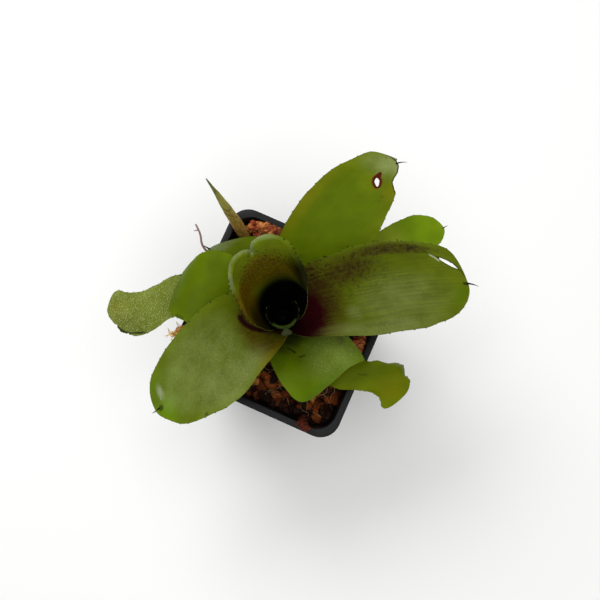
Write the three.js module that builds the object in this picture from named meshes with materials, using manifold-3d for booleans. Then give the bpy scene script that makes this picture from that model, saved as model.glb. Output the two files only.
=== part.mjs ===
// A neoregelia in a square nursery pot of husk chips: a rosette of eleven strap leaves round a central cup.
// Millimetres, +Z up. The origin is the middle of the pot's flat underside, and the pot's sides face X and Y.
import * as THREE from "three";
import { mergeVertices } from "three/addons/utils/BufferGeometryUtils.js";
import Module from "manifold-3d";

const wasm = await Module();
wasm.setup();

const DEG = Math.PI / 180;
const TURN = 2 * Math.PI;
const GAP = 0.3; // between pieces that touch on the real plant
const MERGE = 1e-4; // how near two corners lie to be one

// The pot: thin moulded plastic, square, with a folded rim and holes in its floor.
const POT = {
  width: 90,
  height: 95,
  corner: 10,
  cornerSteps: 5,
  wall: 1.2,
  rim: { width: 3.4, drop: 8, shoulder: 1.6 },
  foot: { width: 62, corner: 8, chamfer: 1.5 },
  drains: { pitch: 19, radius: 4, sides: 12 },
};

// The husk chips that fill the pot.
const SUBSTRATE = {
  level: 84,
  chipsAcross: 10,
  chipRadius: 4.8,
  chipRadiusSpread: 1.6,
  chipWidth: [0.6, 1], // of its length
  chipThickness: [0.4, 0.7],
  scatter: 0.5, // of the pitch
  tilt: 30,
  well: { radius: 15, drop: 4.5 }, // round the stem
  heap: { x: -28, y: 36, radius: 22, rise: 6.5, sides: 12 },
  seed: 20,
};

// What grows out of the filling and lies over the rim: a dry root, then two strips of husk.
const STRANDS = [
  { radius: 0.7, through: [[-38, 11, 83], [-40, 12, 94], [-43, 14, 97], [-52, 18, 98.5], [-58.9, 25.7, 100]] },
  { radius: 1.3, through: [[-37, -17, 84], [-38.8, -19, 93], [-42.5, -22, 97.6], [-47, -29, 98]] },
  { radius: 1.7, through: [[27, -34, 84], [27.5, -38, 94], [28.5, -42.5, 97.8], [33.5, -42.8, 97.4]] },
];
const STRAND = { rings: 9, sides: 6 };

// The short stem that every leaf grows from.
const STEM = {
  foot: { radius: 6.5, z: 70 },
  shoulder: { radius: 9, z: 86 },
  neck: { radius: 3.4, z: 106 },
  crown: { radius: 2, z: 108.2 },
  top: 109,
  sides: 20,
};

// How every leaf is built: its mesh, its thickness, its margin teeth and the spine at its tip.
const BLADE = {
  rows: 26,
  crowding: 0.1, // of the rows towards the tip
  columns: 6,
  cupColumns: 14,
  lengthSteps: 80,
  slopeStep: 1e-3,
  middleThickness: 1.1,
  marginThickness: 0.7,
  mostWrap: 150 * DEG,
  tipRoundness: 2.2,
  channelAt: 20, // how far from the midrib a margin stands the channel's full height
  tooth: { height: 0.4, from: 0.3, to: 0.97 },
  spine: { length: 3.6, footHalfWidth: 0.7, tipHalfWidth: 0.3 },
};

// The leaves, from the youngest to the oldest.
// azimuth: from +X towards +Y, in degrees. height: where the leaf leaves the stem.
// flare: the lean of its sheath from upright, and rise: how far it keeps that lean.
// reach and tipHeight: where the tip is. tipSlope: the way it points there, up from level, and run: how far.
// left and right: the widths beside the midrib at even stations, seen from the stem. tipStart: where they round in.
// furl: the distances from the stem's axis between which the blade turns from wrapped round it to open.
// lean: how far the wrapped part's own axis stands off the stem's at the tip.
// channel: how far the margins stand above the midrib. sweep: how far the tip bends to the left.
const LEAVES = [
  {
    name: "leaf_cup_inner",
    azimuth: 305, height: 106, flare: 5, rise: 26,
    reach: 11.5, tipHeight: 149, tipSlope: 55, run: 8,
    left: [7, 11, 13, 14, 13, 10], right: [7, 11, 13, 14, 13, 10], tipStart: 0.8,
    furl: [40, 60], lean: 2.5, channel: 0, sweep: 0, columns: BLADE.cupColumns,
  },
  {
    name: "leaf_cup_outer",
    azimuth: 138, height: 103.5, flare: 12, rise: 25,
    reach: 30, tipHeight: 160, tipSlope: 50, run: 16,
    left: [9, 17, 22, 24, 22, 21], right: [9, 17, 21, 21, 19, 18], tipStart: 0.92,
    furl: [40, 60], lean: 10.5, channel: 0, sweep: 0, columns: BLADE.cupColumns,
  },
  {
    name: "leaf_upper_left",
    azimuth: 232, height: 101, flare: 22, rise: 30,
    reach: 70, tipHeight: 130, tipSlope: -15, run: 30,
    left: [9, 14, 18.5, 21.5, 17.9, 12], right: [9, 21, 22.2, 20, 16.5, 16], tipStart: 0.82,
    furl: [14, 34], lean: 0, channel: 3, sweep: 12,
  },
  {
    name: "leaf_upper_right",
    azimuth: 42, height: 99, flare: 25, rise: 30,
    reach: 83, tipHeight: 135, tipSlope: -5, run: 35,
    left: [9, 19, 21.5, 22.4, 20.9, 20], right: [9, 15.5, 18, 19.6, 17.9, 11], tipStart: 0.86,
    furl: [14, 34], lean: 0, channel: 3, sweep: -14,
  },
  {
    name: "leaf_middle_left",
    azimuth: 181, height: 97, flare: 32, rise: 26,
    reach: 53, tipHeight: 108, tipSlope: -65, run: 21,
    left: [9, 18, 20, 20.5, 20, 16], right: [9, 17, 18.5, 18, 11, 6], tipStart: 0.85,
    furl: [14, 34], lean: 0, channel: 1, sweep: 0,
  },
  {
    name: "leaf_middle_front",
    azimuth: 327, height: 95, flare: 38, rise: 24,
    reach: 39, tipHeight: 102, tipSlope: -75, run: 17,
    left: [9, 17, 20, 21, 20, 16], right: [9, 15, 18, 18, 14, 10], tipStart: 0.8,
    furl: [14, 34], lean: 0, channel: 1, sweep: 0,
  },
  {
    name: "leaf_middle_back",
    azimuth: 90, height: 93, flare: 42, rise: 28,
    reach: 88, tipHeight: 121, tipSlope: -8, run: 35,
    left: [9, 17, 20.5, 22.2, 20.2, 16.5], right: [9, 18, 20, 17.9, 12.3, 3.5], tipStart: 0.9,
    furl: [15, 34], lean: 0, channel: 2, sweep: -20,
  },
  {
    name: "leaf_old_left",
    azimuth: 194, height: 91.2, flare: 58, rise: 21,
    reach: 86, tipHeight: 96, tipSlope: -25, run: 30,
    left: [9, 12, 10, 4.5, 15.5, 6], right: [9, 13, 13, 15.4, 7.8, 14], tipStart: 0.86,
    furl: [15, 32], lean: 0, channel: 1, sweep: 9,
  },
  {
    name: "leaf_old_right",
    azimuth: 338, height: 89.6, flare: 57, rise: 22,
    reach: 66, tipHeight: 97, tipSlope: -15, run: 20,
    left: [9, 12, 10, 9.5, 14.5, 9], right: [9, 12, 10.5, 8.5, 4.8, 12], tipStart: 0.93,
    furl: [15, 32], lean: 0, channel: 1, sweep: 16,
  },
  {
    name: "leaf_old_back_left",
    azimuth: 150, height: 88.2, flare: 60, rise: 20,
    reach: 50, tipHeight: 100, tipSlope: 0, run: 15,
    left: [9, 16, 17, 16, 14, 10], right: [9, 17, 19, 20, 19, 12], tipStart: 0.76,
    furl: [16, 32], lean: 0, channel: 1, sweep: 9,
  },
  {
    name: "leaf_old_back_right",
    azimuth: 54, height: 87, flare: 62, rise: 24,
    reach: 90, tipHeight: 103, tipSlope: -5, run: 30,
    left: [9, 13, 13, 14, 13.8, 11.5], right: [9, 12, 11, 11, 8.5, 6], tipStart: 0.84,
    furl: [16, 32], lean: 0, channel: 1, sweep: 0,
  },
];

// What age has cut through the leaves: a hole, a bite and a tear. Each is an oval at a place on its leaf.
const CUTS = [
  { leaf: "leaf_middle_back", share: 0.85, side: -0.05, length: 5, width: 2.5, turn: 114 },
  { leaf: "leaf_middle_back", share: 0.905, side: -1.12, length: 9.3, width: 6, turn: 100 },
  { leaf: "leaf_upper_right", share: 0.935, side: 0.53, length: 9, width: 1.4, turn: -5 },
];
const CUT_SIDES = 12;

// The pointed young offset that leans out over the pot's corner.
const OFFSET = {
  foot: new THREE.Vector3(-33.5, 30.5, 74),
  bend: new THREE.Vector3(-36.5, 32.5, 100),
  tip: new THREE.Vector3(-56.6, 41.3, 135),
  radius: 2.4,
  tipRadius: 0.2,
  taperFrom: 0.45,
  sides: 10,
  rings: 10,
};

const FINISHES = {
  pot: { color: 0x1d2222, roughness: 0.45 },
  substrate: { color: 0x5c3318, roughness: 0.95 },
  stem: { color: 0x77803a, roughness: 0.6 },
  cup: { color: 0x4d5a10, roughness: 0.4 },
  upper: { color: 0x5f6e25, roughness: 0.4 },
  middle: { color: 0x567006, roughness: 0.4 },
  old: { color: 0x66781c, roughness: 0.5 },
  offset: { color: 0x6c6833, roughness: 0.6 },
};

function solidFrom(geometry) {
  const bare = geometry.clone();
  bare.deleteAttribute("normal");
  bare.deleteAttribute("uv");
  const merged = mergeVertices(bare, MERGE);
  const vertProperties = merged.attributes.position.array;
  const triVerts = new Uint32Array(merged.index.array);
  return new wasm.Manifold(new wasm.Mesh({ numProp: 3, vertProperties, triVerts }));
}

function geometryFrom(solid) {
  const { numProp, numVert, vertProperties, triVerts } = solid.getMesh();
  const points = new Float32Array(numVert * 3);
  for (let i = 0; i < numVert; i++) {
    points.set(vertProperties.subarray(i * numProp, i * numProp + 3), i * 3);
  }
  return new THREE.BufferGeometry()
    .setAttribute("position", new THREE.BufferAttribute(points, 3))
    .setIndex(new THREE.BufferAttribute(triVerts, 1));
}

function indexedGeometry(points, faces) {
  const numbers = points.flatMap((point) => point.toArray());
  return new THREE.BufferGeometry()
    .setAttribute("position", new THREE.Float32BufferAttribute(numbers, 3))
    .setIndex(faces.flat());
}

// A closed skin over rings with equal numbers of points, capped on the first ring and on the last.
function loft(rings) {
  const n = rings[0].length;
  const last = (rings.length - 1) * n;
  const faces = [];
  for (let low = 0; low < last; low += n) {
    for (let i = 0; i < n; i++) {
      const j = (i + 1) % n;
      faces.push([low + i, low + j, low + n + j], [low + i, low + n + j, low + n + i]);
    }
  }
  for (let i = 1; i < n - 1; i++) {
    faces.push([0, i + 1, i], [last, last + i, last + i + 1]);
  }
  return indexedGeometry(rings.flat(), faces);
}

// Rings round a curve, with a radius that follows the share of its length.
function ringsAlong(curve, radiusAt, count, sides) {
  const { normals, binormals } = curve.computeFrenetFrames(count);
  const rings = [];
  for (let r = 0; r <= count; r++) {
    const radius = radiusAt(r / count);
    const ring = [];
    for (let k = 0; k < sides; k++) {
      const angle = (k / sides) * TURN;
      const point = curve.getPointAt(r / count).addScaledVector(normals[r], radius * Math.cos(angle));
      ring.push(point.addScaledVector(binormals[r], radius * Math.sin(angle)));
    }
    rings.push(ring);
  }
  return rings;
}

// A square with rounded corners, anticlockwise at one height.
function roundedSquare(width, corner, z) {
  const centre = width / 2 - corner;
  const ring = [];
  for (let quarter = 0; quarter < 4; quarter++) {
    const middle = (quarter + 0.5) * 90 * DEG;
    const x = Math.sign(Math.cos(middle)) * centre;
    const y = Math.sign(Math.sin(middle)) * centre;
    for (let k = 0; k <= POT.cornerSteps; k++) {
      const angle = (quarter + k / POT.cornerSteps) * 90 * DEG;
      ring.push(new THREE.Vector3(x + corner * Math.cos(angle), y + corner * Math.sin(angle), z));
    }
  }
  return ring;
}

// The pot's tapered wall at a height, set in from its outer face.
function wallRing(z, inset) {
  const mouth = POT.width - 2 * POT.rim.width + 2 * POT.wall;
  const share = z / POT.height;
  const width = THREE.MathUtils.lerp(POT.foot.width, mouth, share);
  const corner = THREE.MathUtils.lerp(POT.foot.corner, POT.corner, share);
  return roundedSquare(width - 2 * inset, corner - inset, z);
}

function drainSolids() {
  const { pitch, radius, sides } = POT.drains;
  const places = [-pitch, 0, pitch];
  const middles = places.flatMap((x) => places.map((y) => [x, y])).filter(([x, y]) => x !== 0 || y !== 0);
  return middles.map(([x, y]) => {
    const drain = new THREE.CylinderGeometry(radius, radius, 4 * POT.wall, sides).rotateX(90 * DEG);
    return solidFrom(drain.translate(x, y, POT.wall / 2));
  });
}

function potGeometry() {
  const { width, height, corner, wall, rim, foot } = POT;
  const underRim = height - rim.drop;
  const body = loft([
    roundedSquare(foot.width - 2 * foot.chamfer, foot.corner - foot.chamfer, 0),
    wallRing(foot.chamfer, 0),
    wallRing(underRim - rim.shoulder, 0),
    roundedSquare(width, corner, underRim),
    roundedSquare(width, corner, height),
    wallRing(height, wall),
    wallRing(wall, wall),
  ]);
  return geometryFrom(solidFrom(body).subtract(wasm.Manifold.union(drainSolids())));
}

// How far the chips at a place lie above the level: low round the stem, and heaped at one side.
function chipRise(x, y) {
  const { well, heap } = SUBSTRATE;
  const fromHeap = Math.hypot(x - heap.x, y - heap.y);
  const heaped = heap.rise * (1 - THREE.MathUtils.smoothstep(fromHeap, 0, heap.radius));
  return heaped - (Math.hypot(x, y) < well.radius ? well.drop : 0);
}

function chipSolid(middle, random) {
  const { chipRadius, chipRadiusSpread, chipWidth, chipThickness, tilt } = SUBSTRATE;
  const lean = () => 2 * tilt * (random() - 0.5) * DEG;
  const chip = new THREE.IcosahedronGeometry(chipRadius + chipRadiusSpread * (random() - 0.5));
  chip.scale(1, THREE.MathUtils.lerp(...chipWidth, random()), THREE.MathUtils.lerp(...chipThickness, random()));
  chip.rotateX(lean()).rotateY(lean()).rotateZ(random() * TURN);
  return solidFrom(chip.translate(...middle));
}

function chipSolids() {
  const { level, chipsAcross, scatter, seed } = SUBSTRATE;
  THREE.MathUtils.seededRandom(seed);
  const random = () => THREE.MathUtils.seededRandom();
  const pitch = (2 * wallRing(level, POT.wall)[0].x) / chipsAcross;
  const place = (i) => (i + 0.5 - chipsAcross / 2 + scatter * (random() - 0.5)) * pitch;
  const chips = [];
  for (let i = 0; i < chipsAcross; i++) {
    for (let j = 0; j < chipsAcross; j++) {
      const [x, y] = [place(i), place(j)];
      chips.push(chipSolid([x, y, level + chipRise(x, y) + random() - 0.5], random));
    }
  }
  return chips;
}

function heapSolid() {
  const { x, y, radius, rise, sides } = SUBSTRATE.heap;
  const mound = new THREE.SphereGeometry(1, sides, sides / 2).rotateX(90 * DEG);
  return solidFrom(mound.scale(radius, radius, rise).translate(x, y, SUBSTRATE.level));
}

function strandSolid({ radius, through }) {
  const curve = new THREE.CatmullRomCurve3(through.map((numbers) => new THREE.Vector3(...numbers)));
  return solidFrom(loft(ringsAlong(curve, () => radius, STRAND.rings, STRAND.sides)));
}

function offsetGeometry(clearance) {
  const curve = new THREE.QuadraticBezierCurve3(OFFSET.foot, OFFSET.bend, OFFSET.tip);
  const radiusAt = (share) => {
    const past = Math.max(share - OFFSET.taperFrom, 0) / (1 - OFFSET.taperFrom);
    return Math.max(OFFSET.radius * (1 - past ** 2), OFFSET.tipRadius) + clearance;
  };
  return loft(ringsAlong(curve, radiusAt, OFFSET.rings, OFFSET.sides));
}

// The filling: one bed with its chips and strands, and plain holes for the stem and the offset.
function substrateGeometry() {
  const floor = POT.wall + GAP;
  const inside = (z) => wallRing(z, POT.wall + GAP);
  const bed = solidFrom(loft([inside(floor), inside(SUBSTRATE.level)]));
  const room = solidFrom(loft([inside(floor), inside(POT.height)]));
  const bore = STEM.shoulder.radius + GAP;
  const shaft = new THREE.CylinderGeometry(bore, bore, POT.height, STEM.sides).rotateX(90 * DEG);
  shaft.translate(0, 0, STEM.foot.z - GAP + POT.height / 2);
  const pieces = wasm.Manifold.union([bed, heapSolid(), ...chipSolids()])
    .intersect(room)
    .add(wasm.Manifold.union(STRANDS.map(strandSolid)))
    .subtract(solidFrom(shaft))
    .subtract(solidFrom(offsetGeometry(GAP)))
    .decompose();
  return geometryFrom(pieces.reduce((most, piece) => (piece.volume() > most.volume() ? piece : most)));
}

function stemGeometry() {
  const { foot, shoulder, neck, crown, top, sides } = STEM;
  const outline = [foot, shoulder, neck, crown].map(({ radius, z }) => new THREE.Vector2(radius, z));
  const profile = [new THREE.Vector2(0, foot.z), ...outline, new THREE.Vector2(0, top)];
  return new THREE.LatheGeometry(profile, sides).rotateX(90 * DEG);
}

// A leaf's midrib in its own upright plane: x is the distance from the stem's axis, and y the height.
function midrib(leaf) {
  const { shoulder, neck } = STEM;
  const stemRadius = THREE.MathUtils.mapLinear(leaf.height, shoulder.z, neck.z, shoulder.radius, neck.radius);
  const origin = new THREE.Vector2();
  const start = new THREE.Vector2(stemRadius + GAP + BLADE.middleThickness / 2, leaf.height);
  const tip = new THREE.Vector2(leaf.reach, leaf.tipHeight);
  const sheath = new THREE.Vector2(0, leaf.rise).rotateAround(origin, -leaf.flare * DEG).add(start);
  const end = new THREE.Vector2(-leaf.run, 0).rotateAround(origin, leaf.tipSlope * DEG).add(tip);
  const curve = new THREE.CubicBezierCurve(start, sheath, end, tip);
  curve.arcLengthDivisions = BLADE.lengthSteps;
  return curve;
}

// A curve through a margin's stations, whose y is the width beside the midrib.
function marginCurve(stations) {
  return new THREE.SplineCurve(stations.map((width, i) => new THREE.Vector2(i, width)));
}

function leafShape(leaf) {
  const margins = { leftMargin: marginCurve(leaf.left), rightMargin: marginCurve(leaf.right) };
  return { ...leaf, ...margins, rib: midrib(leaf) };
}

function widthBeside(shape, share, side) {
  const width = (side > 0 ? shape.leftMargin : shape.rightMargin).getPoint(share).y;
  const past = Math.max(share - shape.tipStart, 0) / (1 - shape.tipStart);
  return Math.max(width * Math.sqrt(1 - past ** BLADE.tipRoundness), BLADE.spine.footHalfWidth);
}

// A point of the leaf's middle surface. side runs from -1, the right margin, to 1, the left one. share runs
// from 0 at the stem to 1 at the tip and on into the spine, and tooth is how far the margin stands out there.
function leafPoint(shape, share, side, tooth = 0) {
  const { spine } = BLADE;
  const onBlade = Math.min(share, 1);
  const past = (share - onBlade) * shape.rib.getLength();
  const slope = shape.rib.getTangentAt(onBlade);
  const rib = shape.rib.getPointAt(onBlade).addScaledVector(slope, past);
  const azimuth = shape.azimuth * DEG;
  const outward = new THREE.Vector3(Math.cos(azimuth), Math.sin(azimuth), 0);
  const across = new THREE.Vector3(-Math.sin(azimuth), Math.cos(azimuth), 0);
  const upward = outward.clone().multiplyScalar(-slope.y).setZ(slope.x);
  const onSpine = THREE.MathUtils.lerp(spine.footHalfWidth, spine.tipHalfWidth, past / spine.length);
  const offset = side * (past > 0 ? onSpine : widthBeside(shape, onBlade, side) + tooth);

  const centre = shape.lean * onBlade ** 3;
  const radius = rib.x - centre;
  const turn = azimuth + THREE.MathUtils.clamp(offset / radius, -BLADE.mostWrap, BLADE.mostWrap);
  const wrapped = new THREE.Vector3(radius * Math.cos(turn), radius * Math.sin(turn), rib.y);
  wrapped.addScaledVector(outward, centre);

  const open = outward.clone().multiplyScalar(rib.x).setZ(rib.y);
  open.addScaledVector(across, offset + shape.sweep * onBlade ** 2);
  open.addScaledVector(upward, shape.channel * (offset / BLADE.channelAt) ** 2);
  return wrapped.lerp(open, THREE.MathUtils.smoothstep(rib.x, ...shape.furl));
}

// The way the leaf's upper face looks at a point of its blade.
function leafNormal(shape, share, side) {
  const step = BLADE.slopeStep;
  const low = Math.max(share - step, 0);
  const right = Math.max(side - step, -1);
  const along = leafPoint(shape, low + step, side).sub(leafPoint(shape, low, side));
  const across = leafPoint(shape, share, right + step).sub(leafPoint(shape, share, right));
  return along.cross(across).normalize();
}

// The shares of the length where a leaf has a row of points, with the spine's end last.
function rowShares(shape) {
  const shares = [];
  for (let r = 0; r <= BLADE.rows; r++) {
    const even = r / BLADE.rows;
    shares.push(even + BLADE.crowding * Math.sin(Math.PI * even));
  }
  return [...shares, 1 + BLADE.spine.length / shape.rib.getLength()];
}

function leafGeometry(shape) {
  const { tooth, spine, middleThickness, marginThickness } = BLADE;
  const columns = shape.columns ?? BLADE.columns;
  const shares = rowShares(shape);
  const [upper, lower] = [[], []];
  shares.forEach((share, r) => {
    const toothed = r % 2 === 1 && share > tooth.from && share < tooth.to;
    for (let c = 0; c <= columns; c++) {
      const side = (2 * c) / columns - 1;
      const point = leafPoint(shape, share, side, toothed && Math.abs(side) === 1 ? tooth.height : 0);
      const normal = leafNormal(shape, Math.min(share, 1), side);
      const thickness = THREE.MathUtils.lerp(middleThickness, marginThickness, side ** 2);
      const half = share > 1 ? spine.tipHalfWidth : thickness / 2;
      upper.push(point.clone().addScaledVector(normal, half));
      lower.push(point.addScaledVector(normal, -half));
    }
  });
  return plateGeometry(upper, lower, shares.length, columns + 1);
}

// A closed plate between two like grids of points, split into triangles alike on both faces.
function plateGeometry(upper, lower, rows, columns) {
  const under = upper.length;
  const faces = [];
  for (let r = 0; r < rows - 1; r++) {
    for (let c = 0; c < columns - 1; c++) {
      const near = r * columns + c;
      const far = near + columns;
      const halves = [[near, far + 1, near + 1], [near, far, far + 1]];
      faces.push(...halves, ...halves.map(([i, j, k]) => [under + i, under + k, under + j]));
    }
  }
  const rim = [];
  for (let c = 0; c < columns - 1; c++) rim.push(c);
  for (let r = 0; r < rows - 1; r++) rim.push((r + 1) * columns - 1);
  for (let c = columns - 1; c > 0; c--) rim.push((rows - 1) * columns + c);
  for (let r = rows - 1; r > 0; r--) rim.push(r * columns);
  rim.forEach((a, i) => {
    const b = rim[(i + 1) % rim.length];
    faces.push([a, b, under + b], [a, under + b, under + a]);
  });
  return indexedGeometry([...upper, ...lower], faces);
}

// A leaf with the ovals cut out of it that CUTS gives it.
function cutLeafGeometry(leaf) {
  const shape = leafShape(leaf);
  const ovals = CUTS.filter((cut) => cut.leaf === leaf.name).map((cut) => {
    const oval = new THREE.CylinderGeometry(0.5, 0.5, leaf.reach, CUT_SIDES).rotateX(90 * DEG);
    oval.scale(cut.length, cut.width, 1).rotateZ(cut.turn * DEG);
    return solidFrom(oval.translate(...leafPoint(shape, cut.share, cut.side)));
  });
  const whole = leafGeometry(shape);
  return ovals.length === 0 ? whole : geometryFrom(solidFrom(whole).subtract(wasm.Manifold.union(ovals)));
}

const group = new THREE.Group();

function add(name, geometry, finish) {
  const mesh = new THREE.Mesh(geometry, new THREE.MeshStandardMaterial({ ...finish, metalness: 0 }));
  mesh.name = name;
  group.add(mesh);
}

add("pot", potGeometry(), FINISHES.pot);
add("substrate", substrateGeometry(), FINISHES.substrate);
add("stem", stemGeometry(), FINISHES.stem);
for (const leaf of LEAVES) {
  const family = leaf.name.split("_")[1];
  add(leaf.name, cutLeafGeometry(leaf), FINISHES[family]);
}
add("offset_shoot", offsetGeometry(0), FINISHES.offset);

export default group;
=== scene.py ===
"""Dresses a potted neoregelia: a rosette of eleven waxy leaves round a tubular cup, in a square pot of husk chips.

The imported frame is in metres, +Z up, with the origin in the middle of the pot's underside. Sizes in this file are
millimetres, and MM turns them to metres.
"""

import logging
import math
from collections.abc import Callable, Sequence
from dataclasses import dataclass
from enum import Enum
from functools import partial
from itertools import product

import bmesh
import bpy
import numpy as np
from mathutils import Matrix, Vector

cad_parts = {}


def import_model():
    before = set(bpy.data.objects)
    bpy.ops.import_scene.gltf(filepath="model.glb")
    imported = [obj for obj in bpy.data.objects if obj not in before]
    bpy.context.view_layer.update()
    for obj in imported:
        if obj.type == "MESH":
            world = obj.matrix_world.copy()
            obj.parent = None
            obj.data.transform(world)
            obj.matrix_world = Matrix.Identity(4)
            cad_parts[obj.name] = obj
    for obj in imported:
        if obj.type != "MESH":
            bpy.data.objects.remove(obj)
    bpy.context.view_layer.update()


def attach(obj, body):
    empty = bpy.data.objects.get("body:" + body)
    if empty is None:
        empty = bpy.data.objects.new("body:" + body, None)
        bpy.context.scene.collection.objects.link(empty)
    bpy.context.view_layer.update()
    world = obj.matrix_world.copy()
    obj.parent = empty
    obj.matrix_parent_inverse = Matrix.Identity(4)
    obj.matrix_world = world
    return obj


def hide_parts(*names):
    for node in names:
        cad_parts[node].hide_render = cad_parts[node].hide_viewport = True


LOG = logging.getLogger("neoregelia")
MM = 0.001
TINY = 1e-9
UP = np.array((0.0, 0.0, 1.0))
BODY = "root"

Socket = bpy.types.NodeSocket
Node = bpy.types.Node
Object = bpy.types.Object

MATH = "ShaderNodeMath"
VECTOR = "ShaderNodeVectorMath"
MIX = "ShaderNodeMix"
RANGE = "ShaderNodeMapRange"
NOISE = "ShaderNodeTexNoise"
CELLS = "ShaderNodeTexVoronoi"
SPLIT = "ShaderNodeSeparateXYZ"
READ = "ShaderNodeAttribute"
COORDINATES = "ShaderNodeTexCoord"
BUMP = "ShaderNodeBump"
SHADER = "ShaderNodeBsdfPrincipled"
OUTPUT = "ShaderNodeOutputMaterial"


def linear(colour: str) -> tuple[float, float, float, float]:
    """Turn an sRGB hex colour to the linear one that a shader takes.

    Args:
        colour: six hex digits, such as "526201".

    Returns:
        Red, green, blue and alpha.
    """
    shares = [int(colour[i : i + 2], 16) / 255 for i in (0, 2, 4)]
    red, green, blue = ((s / 12.92) if s <= 0.04045 else ((s + 0.055) / 1.055) ** 2.4 for s in shares)
    return red, green, blue, 1.0


def live(sockets: Sequence[Socket], key: str | int) -> Socket:
    """Find a socket by its place, or by its name among those in use.

    Args:
        sockets: a node's inputs or outputs.
        key: the socket's place or its name.

    Returns:
        The socket.
    """
    if isinstance(key, int):
        return sockets[key]
    return next(socket for socket in sockets if socket.enabled and socket.name == key)


def add_node(tree: bpy.types.NodeTree, kind: str, feeds: dict | None = None, **settings: object) -> Node:
    """Add a node with its settings and links.

    Args:
        tree: the tree to add to.
        kind: the node's type.
        feeds: for each input's name or place, a number, a hex colour, a socket or a node.
        **settings: the node's own properties.

    Returns:
        The node.
    """
    node = tree.nodes.new(kind)
    for name, value in settings.items():
        setattr(node, name, value)
    for key, value in (feeds or {}).items():
        target = live(node.inputs, key)
        if isinstance(value, bpy.types.Node):
            value = next(socket for socket in value.outputs if socket.enabled)
        if isinstance(value, bpy.types.NodeSocket):
            tree.links.new(value, target)
        else:
            target.default_value = linear(value) if isinstance(value, str) else value
    return node


def smoothstep(values: np.ndarray, low: float, high: float) -> np.ndarray:
    """Rise smoothly from 0 at low to 1 at high.

    Args:
        values: any numbers.
        low: where the rise starts.
        high: where it ends.

    Returns:
        The shares.
    """
    share = np.clip((values - low) / (high - low), 0, 1)
    return share * share * (3 - 2 * share)


def deselect() -> None:
    """Deselect every object."""
    bpy.ops.object.select_all(action="DESELECT")


def only(item: Object) -> None:
    """Select one object alone and make it the active one.

    Args:
        item: the object.
    """
    deselect()
    item.select_set(True)
    bpy.context.view_layer.objects.active = item


def corners_of(item: Object) -> np.ndarray:
    """Read the corners of a mesh.

    Args:
        item: the mesh object.

    Returns:
        Rows of X, Y and Z, in metres.
    """
    numbers = np.empty(len(item.data.vertices) * 3)
    item.data.vertices.foreach_get("co", numbers)
    return numbers.reshape(-1, 3)


def set_corners(item: Object, places: np.ndarray) -> None:
    """Move a mesh object's corners to new places.

    Args:
        item: the mesh object.
        places: rows of X, Y and Z, in metres.
    """
    item.data.vertices.foreach_set("co", places.ravel())
    item.data.update()


def paint(item: Object, name: str, rows: np.ndarray | Sequence[float]) -> None:
    """Write three numbers at each corner of a mesh.

    Args:
        item: the mesh object.
        name: the attribute's name, made if it isn't there.
        rows: rows of three numbers, or one row for every corner.
    """
    layer = item.data.attributes.get(name) or item.data.attributes.new(name, "FLOAT_VECTOR", "POINT")
    rows = np.broadcast_to(np.asarray(rows, dtype=float), (len(item.data.vertices), 3))
    layer.data.foreach_set("vector", rows.ravel())


def read_paint(item: Object, name: str) -> np.ndarray:
    """Read the three numbers at each corner of a mesh.

    Args:
        item: the mesh object.
        name: the attribute's name.

    Returns:
        Rows of three numbers.
    """
    numbers = np.empty(len(item.data.vertices) * 3)
    item.data.attributes[name].data.foreach_get("vector", numbers)
    return numbers.reshape(-1, 3)


def even_frames(path: np.ndarray) -> tuple[np.ndarray, np.ndarray]:
    """Carry two directions along a path without twist.

    Args:
        path: rows of points.

    Returns:
        The side direction and the upper direction at each point, which with the path's own make a right-handed set.
    """
    tangents = np.gradient(path, axis=0)
    tangents /= np.linalg.norm(tangents, axis=1, keepdims=True)
    side = np.cross(tangents[0], (0.0, 0.0, 1.0))
    if np.linalg.norm(side) < 0.1:
        side = np.array((1.0, 0.0, 0.0))
    sides = []
    for tangent in tangents:
        side = side - tangent * (side @ tangent)
        side = side / np.linalg.norm(side)
        sides.append(side)
    return np.array(sides), np.cross(tangents, sides)


def swept(name: str, path: np.ndarray, radii: np.ndarray, sides: int) -> Object:
    """Draw a closed round strand along a path from a cylinder that is cut into rings.

    Args:
        name: the object's name.
        path: rows of points in millimetres.
        radii: the radius at each point.
        sides: how many sides it has.

    Returns:
        The strand, which carries its share of the length and its two round directions as the attribute "strand".
    """
    deselect()
    bpy.ops.mesh.primitive_cylinder_add(vertices=sides, radius=1, depth=1, end_fill_type="NGON")
    strand = bpy.context.object
    strand.name = strand.data.name = name
    bpy.ops.object.mode_set(mode="EDIT")
    bpy.ops.mesh.select_mode(type="EDGE")
    bpy.ops.mesh.select_all(action="DESELECT")
    edges = bmesh.from_edit_mesh(strand.data).edges
    for edge in edges:
        edge.select_set(abs(edge.verts[0].co.z - edge.verts[1].co.z) > 0.5)
    bmesh.update_edit_mesh(strand.data)
    bpy.ops.mesh.subdivide(number_cuts=len(path) - 2)
    bpy.ops.object.mode_set(mode="OBJECT")
    start = corners_of(strand)
    ring = np.rint((start[:, 2] + 0.5) * (len(path) - 1)).astype(int)
    side, upper = even_frames(path)
    round_it = start[:, :1] * side[ring] + start[:, 1:2] * upper[ring]
    set_corners(strand, (path[ring] + radii[ring, None] * round_it) * MM)
    paint(strand, "strand", np.column_stack([start[:, :2], ring / (len(path) - 1)]))
    bpy.ops.object.shade_smooth()
    return strand


def bent_path(points: Sequence[Sequence[float]], count: int) -> np.ndarray:
    """Run a smooth path through a few points.

    Args:
        points: the points, in millimetres.
        count: how many points the path gets.

    Returns:
        Rows of points, evenly spread between the given ones.
    """
    rows = np.asarray(points, dtype=float)
    share = np.linspace(0, 1, count)
    return np.column_stack([through(rows[:, axis], share) for axis in range(3)])


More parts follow.
